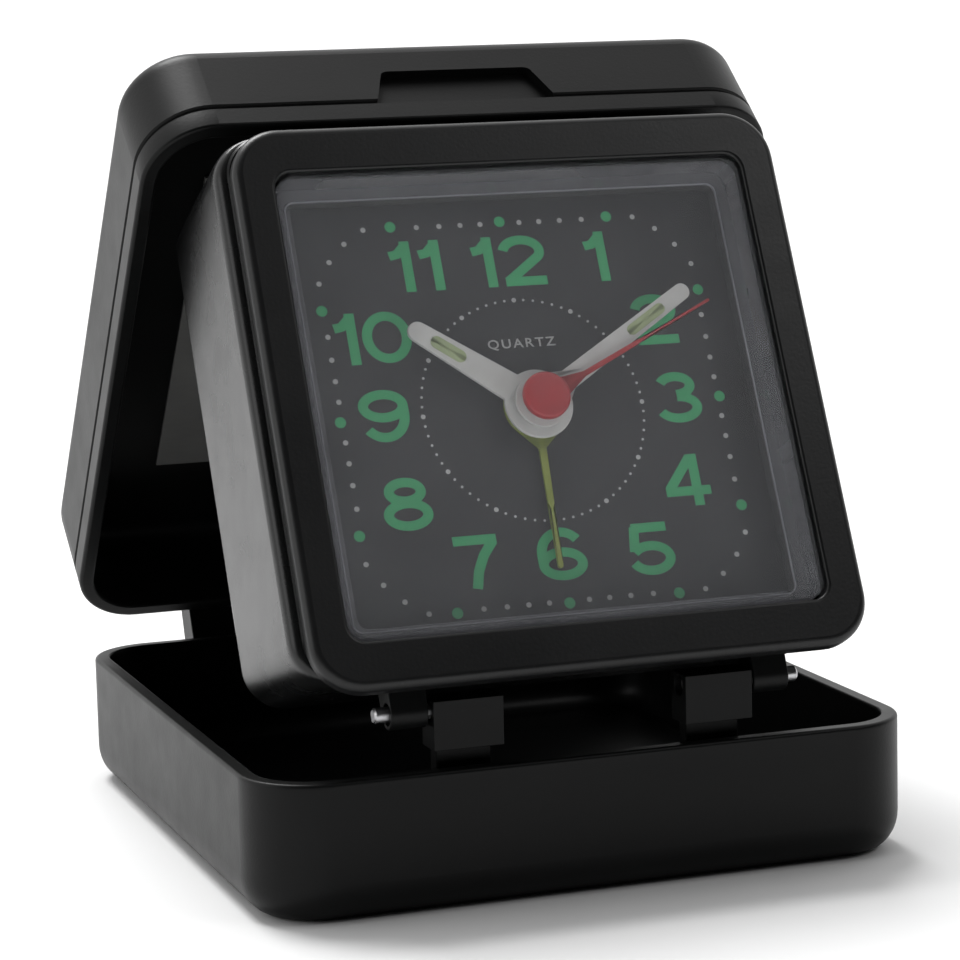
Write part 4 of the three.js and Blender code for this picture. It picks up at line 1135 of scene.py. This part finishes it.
def back_light(heading, strength, spread):
    """Broad far lamp from behind that whitens the sweep and throws a soft shadow forward."""
    light = bpy.data.lights.new("back_light", "SUN")
    light.energy = strength
    light.angle = np.radians(spread)
    lamp = add_object("back_light", light)
    lamp.rotation_euler = Vector(heading).to_track_quat("-Z", "Y").to_euler()


def studio_air():
    """Light from all round: white behind, grey overhead and dark in front, on one smooth slope."""
    world = bpy.data.worlds.new("studio_air")
    bpy.context.scene.world = world
    world.use_nodes = True
    tree = world.node_tree
    aim = tree.nodes.new("ShaderNodeTexCoord").outputs["Generated"]
    slope = put(tree, "ShaderNodeVectorMath", {0: aim}, operation="DOT_PRODUCT")
    slope.inputs[1].default_value = (0, 1, 0.1)
    level = remap(tree, slope.outputs["Value"], 0.02, 1.15, -0.5, 0.55,
                  interpolation_type="SMOOTHSTEP")
    tree.links.new(level, tree.nodes["Background"].inputs["Strength"])
    tree.nodes["Background"].inputs["Color"].default_value = (1, 1, 1, 1)


def aim_camera(place, yaw, pitch, roll, focal):
    """Long lens at a place, turned right by yaw, down by pitch and rolled."""
    lens = bpy.data.cameras.new("front_left_view")
    lens.sensor_width = 36
    lens.lens = focal
    camera = add_object("front_left_view", lens)
    yaw, pitch, roll = np.radians([yaw, pitch, roll])
    forward = Vector((np.sin(yaw) * np.cos(pitch), np.cos(yaw) * np.cos(pitch), -np.sin(pitch)))
    right = Vector((np.cos(yaw), -np.sin(yaw), 0))
    up = right.cross(forward)
    level = right * np.cos(roll) + up * np.sin(roll)
    above = up * np.cos(roll) - right * np.sin(roll)
    turn = Matrix((level, above, -forward)).transposed()
    camera.matrix_world = Matrix.Translation(place) @ turn.to_4x4()
    bpy.context.scene.camera = camera


studio_floor()
middle = (0, 0, 0.04)
soft_box("left_box", (-0.8, -0.1, 0.35), middle, (0.4, 0.5), 1.0)
soft_box("front_box", (0.62, -0.6, 0.9), middle, (0.3, 0.3), 1.3)
back_light((0.08, -0.5, -0.86), 3.0, 28)
studio_air()
bpy.context.scene.view_settings.view_transform = "Standard"
aim_camera((-0.12155, -0.34586, 0.09443), 19.55, 8.63, -1.40, 120.5)
